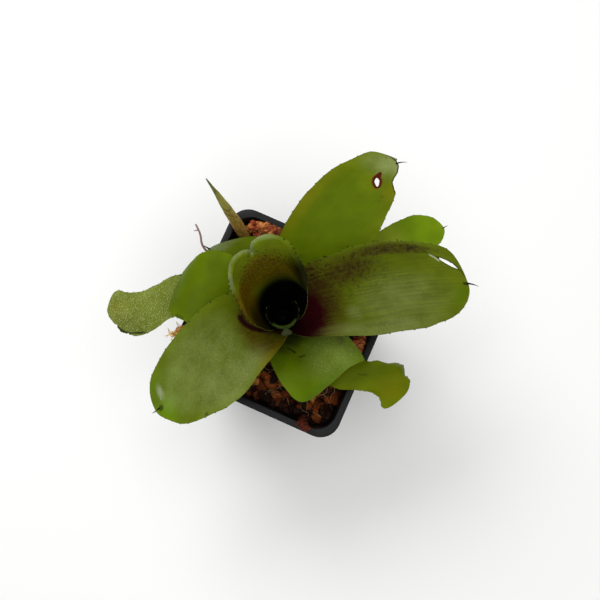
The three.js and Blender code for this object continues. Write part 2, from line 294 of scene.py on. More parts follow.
def through(stations: Sequence[float], share: np.ndarray) -> np.ndarray:
    """Read a smooth curve through even stations.

    Args:
        stations: the values at even steps from 0 to 1.
        share: where to read it.

    Returns:
        The values there.
    """
    values = np.asarray(stations, dtype=float)
    last = len(values) - 1
    place = np.clip(share, 0, 1) * last
    low = np.minimum(place.astype(int), last - 1)
    t = place - low
    before, here = values[np.maximum(low - 1, 0)], values[low]
    after, beyond = values[low + 1], values[np.minimum(low + 2, last)]
    leave, arrive = (after - before) / 2, (beyond - here) / 2
    cubic = 2 * here - 2 * after + leave + arrive
    square = -3 * here + 3 * after - 2 * leave - arrive
    return cubic * t**3 + square * t**2 + leave * t + here


def joined(pieces: Sequence[Object], name: str) -> Object:
    """Join mesh objects into the first of them.

    Args:
        pieces: the objects.
        name: the name of what they become.

    Returns:
        The joined object.
    """
    deselect()
    for piece in pieces:
        piece.select_set(True)
    bpy.context.view_layer.objects.active = pieces[0]
    bpy.ops.object.join()
    whole = bpy.context.object
    whole.name = whole.data.name = name
    return whole


def copy_of(model: Object, place: Matrix, tone: Sequence[float]) -> Object:
    """Copy a model with a mesh of its own.

    Args:
        model: what is copied.
        place: the move, turn and scale, which go into the mesh.
        tone: three numbers that the finish varies it by.

    Returns:
        The copy.
    """
    twin = model.copy()
    twin.data = model.data.copy()
    twin.data.transform(place)
    bpy.context.collection.objects.link(twin)
    paint(twin, "tone", tone)
    return twin


def hand_over(piece: Object, slot: str, *nodes: str) -> None:
    """Tell the frame what a finished piece is.

    Args:
        piece: the finished piece.
        slot: the record's material slot; not used.
        *nodes: the frame's nodes that it stands for.
    """
    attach(piece, BODY)
    if nodes:
        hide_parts(*nodes)
    LOG.info("%s: %d faces, stands for %s", piece.name, len(piece.data.polygons), ", ".join(nodes) or "no node")


class Layer(Enum):
    """What lies over a leaf's green, painted shade and painted highlights among it. Three layers share one attribute of
    the mesh, in this order.
    """

    WINE = 0
    WARM = 1
    YELLOW = 2
    # Painted shade: darkens towards near black deep in the cup and where a leaf lies under others.
    PAINTED_SHADE = 3
    MOTTLE = 4
    SCURF = 5
    BRIGHT = 6
    BURN = 7
    DARK = 8
    # Painted highlights: pale streaks where light glances off a leaf.
    PAINTED_HIGHLIGHT = 9
    THORN = 10
    STREAK = 11


LAYER_SETS = len(Layer) // 3
LAYER_SET = "leaf_layer_{}"


def paint_layers(item: Object, layers: np.ndarray) -> None:
    """Write how strongly each layer covers each corner of a leaf.

    Args:
        item: the leaf or a piece of it.
        layers: a column for each layer, in a row for each corner or in one row for all.
    """
    for number in range(LAYER_SETS):
        paint(item, LAYER_SET.format(number), layers[..., 3 * number : 3 * number + 3])


def feet_on(points: np.ndarray, start: Sequence[float], end: Sequence[float]) -> np.ndarray:
    """Find the nearest point of a straight piece to each of some points.

    Args:
        points: rows of two numbers.
        start: where the piece starts.
        end: where it ends.

    Returns:
        The nearest points.
    """
    start, step = np.asarray(start, dtype=float), np.subtract(end, start)
    share = np.clip((points - start) @ step / max(float(step @ step), TINY), 0, 1)
    return start + share[:, None] * step


@dataclass(frozen=True)
class Patch:
    """A soft oval of one layer on a leaf.

    share is its place along the leaf and side its place across, from -1 at the right margin to 1 at the left one.
    long and wide are half its length and width in the same measures. core is the part of it at full strength.
    """

    layer: Layer
    share: float
    side: float
    long: float
    wide: float
    strength: float = 1.0
    core: float = 0.0

    def cover(self, share: np.ndarray, side: np.ndarray) -> np.ndarray:
        """Say how strongly the patch covers each point.

        Args:
            share: the points' shares of the length.
            side: their sides.

        Returns:
            The strengths.
        """
        away = np.hypot((share - self.share) / self.long, (side - self.side) / self.wide)
        return self.strength * smoothstep(-away, -1.0, -self.core)


@dataclass(frozen=True)
class Stroke:
    """A spot or a line of one layer, through points in millimetres to the left of the midrib and along it."""

    layer: Layer
    points: tuple[tuple[float, float], ...]
    radius: float
    strength: float = 1.0

    def cover(self, across: np.ndarray, along: np.ndarray) -> np.ndarray:
        """Say how strongly the stroke covers each point.

        Args:
            across: how far the points lie to the left of the midrib.
            along: how far they lie along it.

        Returns:
            The strengths.
        """
        places = np.column_stack([across, along])
        far = np.full(len(places), np.inf)
        for start, end in zip(self.points, self.points[1:] or self.points):
            far = np.minimum(far, np.linalg.norm(places - feet_on(places, start, end), axis=1))
        return self.strength * smoothstep(-far, -1.5 * self.radius, -0.4 * self.radius)


@dataclass(frozen=True)
class Nick:
    """A dent in one margin, or a bulge where its depth is below 0, at a place in millimetres along the midrib."""

    side: int
    along: float
    depth: float
    reach: float


AddNode = Callable[..., Node]


def painted(add: AddNode, name: str) -> Sequence[Socket]:
    """Read apart the three numbers that a mesh carries at each point.

    Args:
        add: adds a node to the material.
        name: the attribute's name.

    Returns:
        The sockets that give them.
    """
    return add(SPLIT, {"Vector": add(READ, attribute_name=name).outputs["Vector"]}).outputs


def in_millimetres(add: AddNode) -> Socket:
    """Read the place on the object in millimetres."""
    return add(VECTOR, {0: add(COORDINATES).outputs["Object"], "Scale": 1 / MM}, operation="SCALE").outputs["Vector"]


def coated(add: AddNode, ground: Node | str, coats: Sequence[tuple[Node | Socket, str]]) -> Node:
    """Lay coats of colour over a ground, one on the other.

    Args:
        add: adds a node to the material.
        ground: the colour under them.
        coats: how strongly each one covers, and its colour.

    Returns:
        The node that gives the colour on top.
    """
    for cover, colour in coats:
        ground = add(MIX, {"Factor": cover, "A": ground, "B": colour}, data_type="RGBA")
    return ground


@dataclass(frozen=True)
class Finish:
    """How a piece looks. Each kind of finish says what its shader is fed."""

    name: str

    def material(self) -> bpy.types.Material:
        """Build the material of this name.

        Returns:
            The material.
        """
        material = bpy.data.materials.new(self.name)
        material.use_nodes = True
        material.node_tree.nodes.clear()
        add = partial(add_node, material.node_tree)
        add(OUTPUT, {"Surface": add(SHADER, self.feeds(add))})
        return material

    def feeds(self, add: AddNode) -> dict:
        """Say what the shader is fed.

        Args:
            add: adds a node to the material.

        Returns:
            A number, a colour or a node for each of its inputs.
        """
        raise NotImplementedError


@dataclass(frozen=True)
class LeafFinish(Finish):
    """Waxy strap leaf, grown: a soft-glossy skin whose green runs in fine parallel veins under a grey scurf of scales.

    The eye gets a broad dull highlight, a green that is deeper along the middle than at the margins, wine and brown
    stains near the cup, dry red-brown rings round damage and near-black thorns. Sizes are in millimetres: streak_size
    is the width and length of a vein, and the others are the pitch of the blotches, the dots and the scales.
    """

    middle: str
    edge: str
    tip: str
    base: str
    under: str
    wine: str = "26060a"
    warm: str = "33260a"
    yellow: str = "6e6a04"
    bright: str = "5c7a06"
    mottle: str = "17150a"
    # The colour of the painted shade.
    deep: str = "040302"
    scurf: str = "8f9678"
    burn: str = "4a150a"
    dark: str = "141204"
    # The colour of the painted highlights.
    pale: str = "bfc4a8"
    thorn: str = "19110d"
    tip_from: float = 0.7
    base_to: float = 0.35
    edge_width: float = 5.0
    edge_share: float = 0.6
    streak: float = 0.2
    streak_size: tuple[float, float] = (0.9, 16.0)
    blotch_size: float = 2.0
    dot_size: float = 1.7
    scurf_size: float = 0.8
    speckle: float = 0.6
    haze: float = 0.5
    roughness: float = 0.46

    CLOUDS_PER_MM = 0.11

    def feeds(self, add: AddNode) -> dict:
        """Lay all that the leaf's mesh carries over its green.

        Args:
            add: adds a node to the material.

        Returns:
            What the shader is fed.
        """
        run = add(READ, attribute_name="leaf_run").outputs["Vector"]
        columns = [column for number in range(LAYER_SETS) for column in painted(add, LAYER_SET.format(number))]
        layer = dict(zip(Layer, columns))
        cell = (1 / self.streak_size[0], 1 / self.streak_size[1], 0.0)
        flow = add(VECTOR, {0: run, 1: cell}, operation="MULTIPLY").outputs["Vector"]
        streaks = add(NOISE, {"Vector": flow, "Scale": 1.0, "Detail": 4.0})
        cloud = add(NOISE, {"Vector": run, "Scale": self.CLOUDS_PER_MM, "Detail": 3.0})
        grain = add(NOISE, {"Vector": run, "Scale": 1 / self.blotch_size, "Detail": 4.0, "Roughness": 0.65})
        frayed = add(MATH, {0: grain, 1: 1.2, 2: 0.4}, operation="MULTIPLY_ADD")
        veined = add(MATH, {0: streaks, 1: 1.5, 2: 0.25}, operation="MULTIPLY_ADD")
        wine, warm, yellow, pale = (
            add(MATH, {0: layer[kind], 1: frayed}, operation="MULTIPLY")
            for kind in (Layer.WINE, Layer.WARM, Layer.YELLOW, Layer.PAINTED_HIGHLIGHT)
        )
        warm = add(MATH, {0: warm, 1: veined}, operation="MULTIPLY")
        blots = self.blots(add, run, grain, layer[Layer.MOTTLE])
        scales = self.scales(add, run, layer[Layer.SCURF], cloud)
        upper = add(SPLIT, {"Vector": run}).outputs[2]
        coats = (
            (layer[Layer.BRIGHT], self.bright),
            (add(RANGE, {"Value": yellow, "From Max": 0.9}), self.yellow),
            (add(RANGE, {"Value": warm, "From Max": 0.9}), self.warm),
            (add(RANGE, {"Value": wine, "From Min": 0.1, "From Max": 0.8}), self.wine),
            (blots, self.mottle),
            # Painted shade, darkest deep in the cup.
            (layer[Layer.PAINTED_SHADE], self.deep),
            (scales, self.scurf),
            (add(RANGE, {"Value": layer[Layer.BURN], "From Min": 0.2, "From Max": 0.8}), self.burn),
            (add(RANGE, {"Value": layer[Layer.DARK], "From Min": 0.15, "From Max": 1.0}), self.dark),
            # Painted highlights.
            (pale, self.pale),
            (add(RANGE, {"Value": upper, "From Min": 1.0, "From Max": 0.0, "To Max": 0.75}), self.under),
            (add(RANGE, {"Value": layer[Layer.THORN], "From Min": 0.2, "From Max": 0.8}), self.thorn),
        )
        rough = add(MATH, {0: scales, 1: 0.3, 2: self.roughness}, operation="MULTIPLY_ADD")
        relief = add(MATH, {0: scales, 1: 0.6, 2: streaks}, operation="MULTIPLY_ADD")
        bump = add(BUMP, {"Height": relief, "Strength": 0.3, "Distance": 0.25 * MM})
        colour = coated(add, self.ground(add, streaks, cloud, layer[Layer.STREAK]), coats)
        return {"Base Color": colour, "Roughness": rough, "Normal": bump, "IOR": 1.45, "Specular IOR Level": 0.035}

    def ground(self, add: AddNode, streaks: Node, cloud: Node, streaked: Socket) -> Node:
        """Lay the green from sheath to tip and out to the margins, deeper and lighter along the veins.

        Args:
            add: adds a node to the material.
            streaks: a noise drawn out along the leaf.
            cloud: a broad noise that breaks up the borders.
            streaked: how much stronger the veins are drawn.

        Returns:
            The node that gives the colour.
        """
        _, share, edge = painted(add, "leaf_place")
        drift = add(MATH, {0: cloud, 1: 0.3, 2: -0.15}, operation="MULTIPLY_ADD")
        share = add(MATH, {0: share, 1: drift}, operation="ADD")
        tip = add(RANGE, {"Value": share, "From Min": self.tip_from, "From Max": 1.0}, interpolation_type="SMOOTHSTEP")
        margin = add(RANGE, {"Value": edge, "From Min": self.edge_width, "From Max": 0.0, "To Max": self.edge_share})
        base = add(RANGE, {"Value": share, "From Min": self.base_to, "From Max": self.base_to * 0.45})
        colour = coated(add, self.middle, ((tip, self.tip), (margin, self.edge), (base, self.base)))
        swing = add(MATH, {0: streaked, 1: 0.9, 2: self.streak}, operation="MULTIPLY_ADD")
        depth = add(MATH, {0: add(MATH, {0: streaks, 1: 0.5}, operation="SUBTRACT"), 1: swing}, operation="MULTIPLY")
        depth = add(MATH, {0: depth, 1: 2.0, 2: 1.0}, operation="MULTIPLY_ADD")
        broad = add(MATH, {0: cloud, 1: 0.5, 2: 0.75}, operation="MULTIPLY_ADD")
        shade = add(MATH, {0: depth, 1: broad}, operation="MULTIPLY")
        return add(VECTOR, {0: colour, "Scale": shade}, operation="SCALE")

    def scales(self, add: AddNode, run: Socket, amount: Socket, cloud: Node) -> Node:
        """Scatter pale scales over a haze of finer ones.

        Args:
            add: adds a node to the material.
            run: the place on the leaf in millimetres.
            amount: how much scurf there is.
            cloud: a broad noise that makes the haze uneven.

        Returns:
            The node that gives how much of the surface the scurf covers.
        """
        # Real scales are about 0.2 mm across, and are drawn wider so that they show.
        cells = add(CELLS, {"Vector": run, "Scale": 1 / self.scurf_size})
        chance = add(SPLIT, {"Vector": cells.outputs["Color"]}).outputs[0]
        chance = add(MATH, {0: amount, 1: 0.6, 2: chance}, operation="MULTIPLY_ADD")
        kept = add(RANGE, {"Value": chance, "From Min": 0.75, "From Max": 1.0, "To Max": self.speckle})
        dots = add(RANGE, {"Value": cells.outputs["Distance"], "From Min": 0.42, "From Max": 0.16})
        haze = add(RANGE, {"Value": cloud, "From Min": 0.1, "From Max": 0.85, "To Max": self.haze})
        cover = add(MATH, {0: dots, 1: kept, 2: haze}, operation="MULTIPLY_ADD")
        return add(MATH, {0: cover, 1: amount}, operation="MULTIPLY", use_clamp=True)

    def blots(self, add: AddNode, run: Socket, grain: Node, amount: Socket) -> Node:
        """Gather dark dots and ragged blots where the leaf is mottled.

        Args:
            add: adds a node to the material.
            run: the place on the leaf in millimetres.
            grain: a noise of the blots' size.
            amount: how mottled the leaf is.

        Returns:
            The node that gives how much of the surface they cover.
        """
        cells = add(CELLS, {"Vector": run, "Scale": 1 / self.dot_size, "Randomness": 0.85})
        dots = add(RANGE, {"Value": cells.outputs["Distance"], "From Min": 0.3, "From Max": 0.16, "To Max": 0.75})
        blots = add(RANGE, {"Value": grain, "From Min": 0.5, "From Max": 0.66, "To Max": 0.8})
        both = add(MATH, {0: dots, 1: blots}, operation="MAXIMUM")
        return add(MATH, {0: both, 1: amount}, operation="MULTIPLY", use_clamp=True)


@dataclass(frozen=True)
class PotPlastic(Finish):
    """Polypropylene, injection moulded in black.

    The eye gets an even satin face with a cool sheen where it turns, and pale dust and specks that lie on it.
    """

    name: str = "black_moulded_polypropylene"
    ground: str = "070909"
    dust: str = "7d8280"
    speck_pitch: float = 2.6

    def feeds(self, add: AddNode) -> dict:
        """Lay clouds of dust and single specks on the plastic.

        Args:
            add: adds a node to the material.

        Returns:
            What the shader is fed.
        """
        run = in_millimetres(add)
        cloud = add(NOISE, {"Vector": run, "Scale": 0.08, "Detail": 5.0})
        # A speck is up to 0.7 mm across.
        specks = add(CELLS, {"Vector": run, "Scale": 1 / self.speck_pitch})
        chance = add(SPLIT, {"Vector": specks.outputs["Color"]}).outputs[0]
        size = add(RANGE, {"Value": chance, "From Min": 0.5, "From Max": 1.0, "To Max": 0.13})
        dots = add(MATH, {0: specks.outputs["Distance"], 1: size}, operation="LESS_THAN")
        haze = add(RANGE, {"Value": cloud, "From Min": 0.5, "From Max": 0.85, "To Max": 0.07})
        dust = add(MATH, {0: dots, 1: 0.3, 2: haze}, operation="MULTIPLY_ADD")
        colour = coated(add, self.ground, ((dust, self.dust),))
        rough = add(MATH, {0: dust, 1: 0.5, 2: 0.4}, operation="MULTIPLY_ADD")
        grain = add(NOISE, {"Vector": run, "Scale": 3.0, "Detail": 2.0})
        bump = add(BUMP, {"Height": grain, "Strength": 0.12, "Distance": 0.1 * MM})
        return {"Base Color": colour, "Roughness": rough, "Normal": bump, "IOR": 1.49, "Specular IOR Level": 0.16}


@dataclass(frozen=True)
class HuskFinish(Finish):
    """Coconut husk, chopped and dried.

    The eye gets matt orange-brown chunks with coarse parallel fibres, pale cut faces and dark hollows.
    """

    deep: str = "1c0a03"
    body: str = "74360e"
    pale: str = "c48c48"
    pink: str = "b8583c"

    def feeds(self, add: AddNode) -> dict:
        """Vary the husk from piece to piece and along its fibres.

        Args:
            add: adds a node to the material.

        Returns:
            What the shader is fed.
        """
        lightness, pinkness, _ = painted(add, "tone")
        run = add(READ, attribute_name="grain").outputs["Vector"]
        # Husk fibres are about 0.3 mm apart, and are drawn 0.5 mm apart so that they show.
        flow = add(VECTOR, {0: run, 1: (0.25, 2.0, 2.0)}, operation="MULTIPLY").outputs["Vector"]
        fibres = add(NOISE, {"Vector": flow, "Scale": 1.0, "Detail": 3.0})
        patches = add(NOISE, {"Vector": run, "Scale": 0.45, "Detail": 2.0})
        drift = add(MATH, {0: lightness, 1: 0.9, 2: -0.35}, operation="MULTIPLY_ADD")
        depth = add(MATH, {0: patches, 1: 0.7, 2: drift}, operation="MULTIPLY_ADD")
        body = add(RANGE, {"Value": depth, "From Max": 0.4})
        pale = add(RANGE, {"Value": depth, "From Min": 0.45, "From Max": 0.95})
        colour = coated(add, self.deep, ((body, self.body), (pale, self.pale), (pinkness, self.pink)))
        shade = add(MATH, {0: fibres, 1: 1.5, 2: 0.25}, operation="MULTIPLY_ADD")
        colour = add(VECTOR, {0: colour, "Scale": shade}, operation="SCALE")
        bump = add(BUMP, {"Height": fibres, "Strength": 0.7, "Distance": 0.4 * MM})
        return {"Base Color": colour, "Roughness": 0.7, "Normal": bump, "IOR": 1.5, "Specular IOR Level": 0.15}


@dataclass(frozen=True)
class BractFinish(Finish):
    """Young bracts, grown round the offset.

    The eye gets papery tan at the foot, yellowish green above it, brown stains and a grey-green point.
    """

    name: str = "young_bracts"
    foot: str = "b48e42"
    middle: str = "9e9744"
    tip: str = "626b38"
    stain: str = "3b2208"
    rim: str = "4d3413"

    def feeds(self, add: AddNode) -> dict:
        """Run the colours from foot to tip, with stains below and a dry rim to each bract.

        Args:
            add: adds a node to the material.

        Returns:
            What the shader is fed.
        """
        run = in_millimetres(add)
        share = painted(add, "strand")[2]
        rim = painted(add, "tone")[0]
        cloud = add(NOISE, {"Vector": run, "Scale": 0.5, "Detail": 4.0})
        drift = add(MATH, {0: cloud, 1: 0.24, 2: -0.12}, operation="MULTIPLY_ADD")
        along = add(MATH, {0: share, 1: drift}, operation="ADD")
        spots = add(NOISE, {"Vector": run, "Scale": 1.1, "Detail": 3.0})
        stain = add(RANGE, {"Value": spots, "From Min": 0.5, "From Max": 0.62})
        low = add(RANGE, {"Value": share, "From Min": 0.85, "From Max": 0.4, "To Min": 0.1, "To Max": 0.65})
        coats = (
            (add(RANGE, {"Value": along, "From Min": 0.45, "From Max": 0.68}), self.middle),
            (add(RANGE, {"Value": along, "From Min": 0.75, "From Max": 0.95}), self.tip),
            (add(MATH, {0: stain, 1: low}, operation="MULTIPLY"), self.stain),
            (add(RANGE, {"Value": rim, "To Max": 0.6}), self.rim),
        )
        bump = add(BUMP, {"Height": cloud, "Strength": 0.4, "Distance": 0.3 * MM})
        colour = coated(add, self.foot, coats)
        return {"Base Color": colour, "Roughness": 0.55, "Normal": bump, "IOR": 1.45, "Specular IOR Level": 0.2}


@dataclass(frozen=True)
class StrandFinish(Finish):
    """Dry root, fibre or stem, grown: matt, with darker and lighter lengths and another colour at the end, which on the
    stem is painted shade.
    """

    pale: str
    dark: str
    end: str
    end_from: float = 0.9

    def feeds(self, add: AddNode) -> dict:
        """Shade the strand along its length.

        Args:
            add: adds a node to the material.

        Returns:
            What the shader is fed.
        """
        share = painted(add, "strand")[2]
        cloud = add(NOISE, {"Vector": in_millimetres(add), "Scale": 0.9, "Detail": 3.0})
        lift = add(MATH, {0: share, 1: 0.4}, operation="MULTIPLY")
        along = add(MATH, {0: cloud, 1: 1.2, 2: lift}, operation="MULTIPLY_ADD")
        light = add(RANGE, {"Value": along, "From Min": 0.4, "From Max": 1.1})
        end = add(RANGE, {"Value": share, "From Min": self.end_from, "From Max": self.end_from + 0.1})
        colour = coated(add, self.dark, ((light, self.pale), (end, self.end)))
        bump = add(BUMP, {"Height": cloud, "Strength": 0.5, "Distance": 0.2 * MM})
        return {"Base Color": colour, "Roughness": 0.7, "Normal": bump, "IOR": 1.45, "Specular IOR Level": 0.15}


@dataclass(frozen=True)
class StudioFinish(Finish):
    """Pale seamless paper on which the pot stands: even and matt."""

    name: str = "pale_seamless_paper"
    colour: str = "f6f6f5"

    def feeds(self, add: AddNode) -> dict:
        """Give the shader the paper's colour alone.

        Args:
            add: adds a node to the material, which needs no more here.

        Returns:
            What the shader is fed.
        """
        return {"Base Color": self.colour, "Roughness": 0.9, "Specular IOR Level": 0.1}


@dataclass(frozen=True)
class Cut:
    """What age has cut out of a blade: a closed outline in millimetres to the left of the midrib and along it."""

    outline: tuple[tuple[float, float], ...]
    ring: float = 1.0
    layer: Layer = Layer.BURN

    def distance(self, points: np.ndarray) -> tuple[np.ndarray, np.ndarray]:
        """Measure how far points lie from the outline.

        Args:
            points: rows of across and along.

        Returns:
            The distances, negative inside, and the nearest point of the outline to each.
        """
        starts = np.asarray(self.outline)
        best = np.full(len(points), np.inf)
        nearest = np.zeros_like(points)
        inside = np.zeros(len(points), dtype=bool)
        for start, end in zip(starts, np.roll(starts, -1, axis=0)):
            feet = feet_on(points, start, end)
            far = np.linalg.norm(points - feet, axis=1)
            nearest[far < best] = feet[far < best]
            best = np.minimum(best, far)
            spans = (start[1] > points[:, 1]) != (end[1] > points[:, 1])
            rise = end[1] - start[1] or TINY
            inside ^= spans & (points[:, 0] < start[0] + (points[:, 1] - start[1]) / rise * (end[0] - start[0]))
        return np.where(inside, -best, best), nearest

    def cover(self, across: np.ndarray, along: np.ndarray) -> np.ndarray:
        """Say how strongly the cut's dry ring covers each point.

        Args:
            across: how far the points lie to the left of the midrib.
            along: how far they lie along it.

        Returns:
            The strengths.
        """
        far, _ = self.distance(np.column_stack([across, along]))
        return smoothstep(-far, -1.6 * self.ring, -0.2 * self.ring)


@dataclass(frozen=True)
class Thorn:
    """The spine at a leaf's tip: its length, how far it curves to the left and down, and where it stands."""

    length: float = 3.6
    radius: float = 0.45
    left: float = 0.0
    down: float = 0.4
    across: float = 0.0
    back: float = 0.0


@dataclass
class BladePoints:
    """The points of a blade's grid, before it has a shape.

    even is a point's place in the even grid and share its place along the leaf, both from 0 at the stem to 1 at the
    tip. side runs from -1 at the right margin to 1 at the left one. depth is how far the point lies from the nearest
    cut, below 0 inside it, fringe tells whether it lies on a cut's outline, tooth is how far it stands out as a
    tooth, and edge how far it lies from the nearest edge.
    """

    even: np.ndarray
    share: np.ndarray
    side: np.ndarray
    depth: np.ndarray
    fringe: np.ndarray
    tooth: np.ndarray | float = 0.0
    edge: np.ndarray | float = 0.0


@dataclass
class Leaf:
    """One strap leaf that sheathes the stem and opens into a blade.

    azimuth runs from +X towards +Y, in degrees, and height is where the leaf leaves the stem. flare is the lean of
    its sheath from upright, and rise is how far it keeps that lean. reach and tip_height place the tip, tip_slope is
    the way it points there, up from level, and run is how far. left and right are the widths beside the midrib at
    even stations, and the tip rounds off from tip_start. furl gives the distances from the stem between which the
    blade turns from wrapped to open, and lean is how far the wrapped part's axis stands off the stem's at the tip.
    channel is how far the margins stand above the midrib, sweep how far the tip bends to the left, and droop the
    share from which the tip falls and how far. wave and ragged are how far the blade waves and how far its margins
    wander. lip is how far the rim rolls outward and how wide the roll is. spines are a side and a place along it,
    and crowd is how strongly the rows of the mesh gather at the tip.
    """

    node: str
    slot: str
    finish: LeafFinish
    azimuth: float
    height: float
    flare: float
    rise: float
    reach: float
    tip_height: float
    tip_slope: float
    run: float
    left: tuple[float, ...]
    right: tuple[float, ...]
    tip_start: float
    furl: tuple[float, float] = (14, 34)
    lean: float = 0.0
    channel: float = 0.0
    sweep: float = 0.0
    droop: tuple[float, float] = (1.0, 0.0)
    wave: float = 0.35
    ragged: float = 0.2
    blunt: tuple[float, float] = (2.2, 2.2)
    lip: tuple[float, float] = (0.0, 2.4)
    teeth: float = 0.3
    tooth_pitch: float = 6.0
    tooth_stain: float = 0.0
    spines: tuple[tuple[int, float], ...] = ()
    thorn: Thorn | None = Thorn()
    columns: int = 56
    rows: int = 170
    crowd: float = 1.6
    patches: tuple[Patch, ...] = ()
    strokes: tuple[Stroke, ...] = ()
    nicks: tuple[Nick, ...] = ()
    cuts: tuple[Cut, ...] = ()
    seed: int = 1

    STEM = ((86, 106), (9, 3.4))
    CLEARANCE = 0.3
    MIDDLE = 1.1
    MARGIN = 0.3
    THIN_BAND = 6.0
    CHANNEL_AT = 20.0
    MOST_WRAP = math.radians(150)
    CURVE_STEPS = 801
    LEAST_WIDTH = 0.12
    WANDER_LENGTHS = (2.3, 5.1)
    WAVE_LENGTHS = (17.0, 0.43 * 17.0)
    FREE_FROM = (0.45, 0.7)
    WAVY_FROM = (0.4, 0.7)
    CALM_TIP = 0.05
    TOOTHED = (0.3, 0.985)
    SPINE = 1.1
    SMOOTH_BELOW = math.radians(50)

    def rib(self) -> tuple[np.ndarray, np.ndarray]:
        """Trace the midrib in its own upright plane.

        Returns:
            How far along it each point lies, and rows of distance from the stem's axis and height.
        """
        stem = np.interp(self.height, *self.STEM) + self.CLEARANCE + self.MIDDLE / 2
        flare, slope = math.radians(self.flare), math.radians(self.tip_slope)
        start, tip = np.array((stem, self.height)), np.array((self.reach, self.tip_height))
        sheath = start + self.rise * np.array((math.sin(flare), math.cos(flare)))
        end = tip - self.run * np.array((math.cos(slope), math.sin(slope)))
        t = np.linspace(0, 1, self.CURVE_STEPS)[:, None]
        line = (1 - t) ** 3 * start + 3 * (1 - t) ** 2 * t * sheath + 3 * (1 - t) * t**2 * end + t**3 * tip
        steps = np.linalg.norm(np.diff(line, axis=0), axis=1)
        return np.concatenate(([0], np.cumsum(steps))), line

    def length(self) -> float:
        """Measure the midrib."""
        return float(self.rib()[0][-1])

    def half_width(self, share: np.ndarray, side: np.ndarray) -> np.ndarray:
        """Read the width beside the midrib.

        Args:
            share: the shares of the length.
            side: the sides, above 0 to the left.

        Returns:
            The widths.
        """
        width = np.where(side > 0, through(self.left, share), through(self.right, share))
        past = np.clip((share - self.tip_start) / (1 - self.tip_start), 0, 1)
        width = width * np.sqrt(np.clip(1 - past ** np.where(side > 0, *self.blunt), 0, 1))
        along, turn = share * self.length(), np.sign(side)
        short, long = self.WANDER_LENGTHS
        wander = np.sin(along / short + self.seed + turn) * np.sin(along / long + 2.7 * turn * self.seed)
        width = width + self.ragged * wander * smoothstep(share, *self.FREE_FROM) * (past < 0.9)
        for nick in self.nicks:
            near = 1 - smoothstep(np.abs(along - nick.along), 0, nick.reach)
            width = width - nick.depth * near * (turn == nick.side)
        return np.maximum(width, self.LEAST_WIDTH)

    def directions(self) -> tuple[float, np.ndarray, np.ndarray]:
        """Work out where the leaf points.

        Returns:
            Its azimuth in radians, the way it points and the way to its left.
        """
        azimuth = math.radians(self.azimuth)
        cosine, sine = math.cos(azimuth), math.sin(azimuth)
        return azimuth, np.array((cosine, sine, 0.0)), np.array((-sine, cosine, 0.0))

    def surface_points(self, share: np.ndarray, side: np.ndarray, extra: np.ndarray | float = 0.0) -> np.ndarray:
        """Place points of the blade's middle surface.

        Args:
            share: the shares of the length, from 0 at the stem to 1 at the tip.
            side: from -1 at the right margin to 1 at the left one.
            extra: how much further the point stands out from the midrib.

        Returns:
            Rows of X, Y and Z, in millimetres.
        """
        lengths, line = self.rib()
        at = share * lengths[-1]
        far, high = np.interp(at, lengths, line[:, 0]), np.interp(at, lengths, line[:, 1])
        slope_x = np.interp(at, lengths, np.gradient(line[:, 0], lengths))
        slope_z = np.interp(at, lengths, np.gradient(line[:, 1], lengths))
        azimuth, outward, across = self.directions()
        offset = side * (self.half_width(share, side) + extra)
        centre = self.lean * share**3
        radius = far - centre
        turn = azimuth + np.clip(offset / radius, -self.MOST_WRAP, self.MOST_WRAP)
        wrapped = np.column_stack([radius * np.cos(turn), radius * np.sin(turn), high]) + centre[:, None] * outward
        rise = self.channel * (offset / self.CHANNEL_AT) ** 2
        flat = far - slope_z * rise
        opened = flat[:, None] * outward + (offset + self.sweep * share**2)[:, None] * across
        opened[:, 2] += high + slope_x * rise
        placed = wrapped + (opened - wrapped) * smoothstep(far, *self.furl)[:, None]
        start, depth = self.droop
        fallen = np.clip((share - start) / max(1 - start, TINY), 0, 1) ** 1.5 * depth
        return placed + fallen[:, None] * (0.1 * outward - UP)

    def build(self) -> None:
        """Model the leaf from a grid and finish it."""
        deselect()
        bpy.ops.mesh.primitive_grid_add(x_subdivisions=self.columns, y_subdivisions=self.rows, size=1)
        blade = bpy.context.object
        blade.name = blade.data.name = f"{self.node}_blade"
        points = self.grid_points(corners_of(blade))
        set_corners(blade, self.shaped(points) * MM)
        self.paint_blade(blade, points)
        self.open_cuts(blade, points)
        self.thicken(blade)
        if self.thorn is not None:
            blade = joined([blade, self.tip_thorn()], blade.name)
        blade.data.materials.clear()
        blade.data.materials.append(self.finish.material())
        only(blade)
        bpy.ops.object.shade_smooth_by_angle(angle=self.SMOOTH_BELOW)
        hand_over(blade, self.slot, self.node)

    def grid_points(self, grid: np.ndarray) -> BladePoints:
        """Spread the grid over the leaf, with its nearest points drawn onto the outlines of the cuts.

        Args:
            grid: the corners of an even grid, 1 wide and 1 long.

        Returns:
            The points.
        """
        side, even = -2 * grid[:, 0], grid[:, 1] + 0.5
        length = self.length()
        share = 1 - (1 - even) ** self.crowd
        width = self.half_width(share, side)
        places = np.column_stack([side * width, share * length])
        gap = length * self.crowd * np.maximum(1 - even, 1 / self.rows) ** (self.crowd - 1) / self.rows
        reach = 0.5 * np.maximum(gap, 2 * width / self.columns) + 0.02
        depth = np.full(len(places), np.inf)
        fringe = np.zeros(len(places), dtype=bool)
        for cut in self.cuts:
            far, nearest = cut.distance(places)
            close = np.abs(far) < reach
            places[close] = nearest[close]
            fringe |= close
            depth = np.minimum(depth, np.where(close, 0, far))
        share = np.where(fringe, np.clip(places[:, 1] / length, 0, 1), share)
        side = np.where(fringe, np.clip(places[:, 0] / self.half_width(share, side), -1, 1), side)
        points = BladePoints(even, share, side, depth, fringe)
        points.tooth = self.tooth_heights(points)
        margin = (1 - np.abs(side)) * self.half_width(share, side)
        points.edge = np.minimum(np.minimum(margin, (1 - share) * length), np.maximum(depth, 0))
        return points

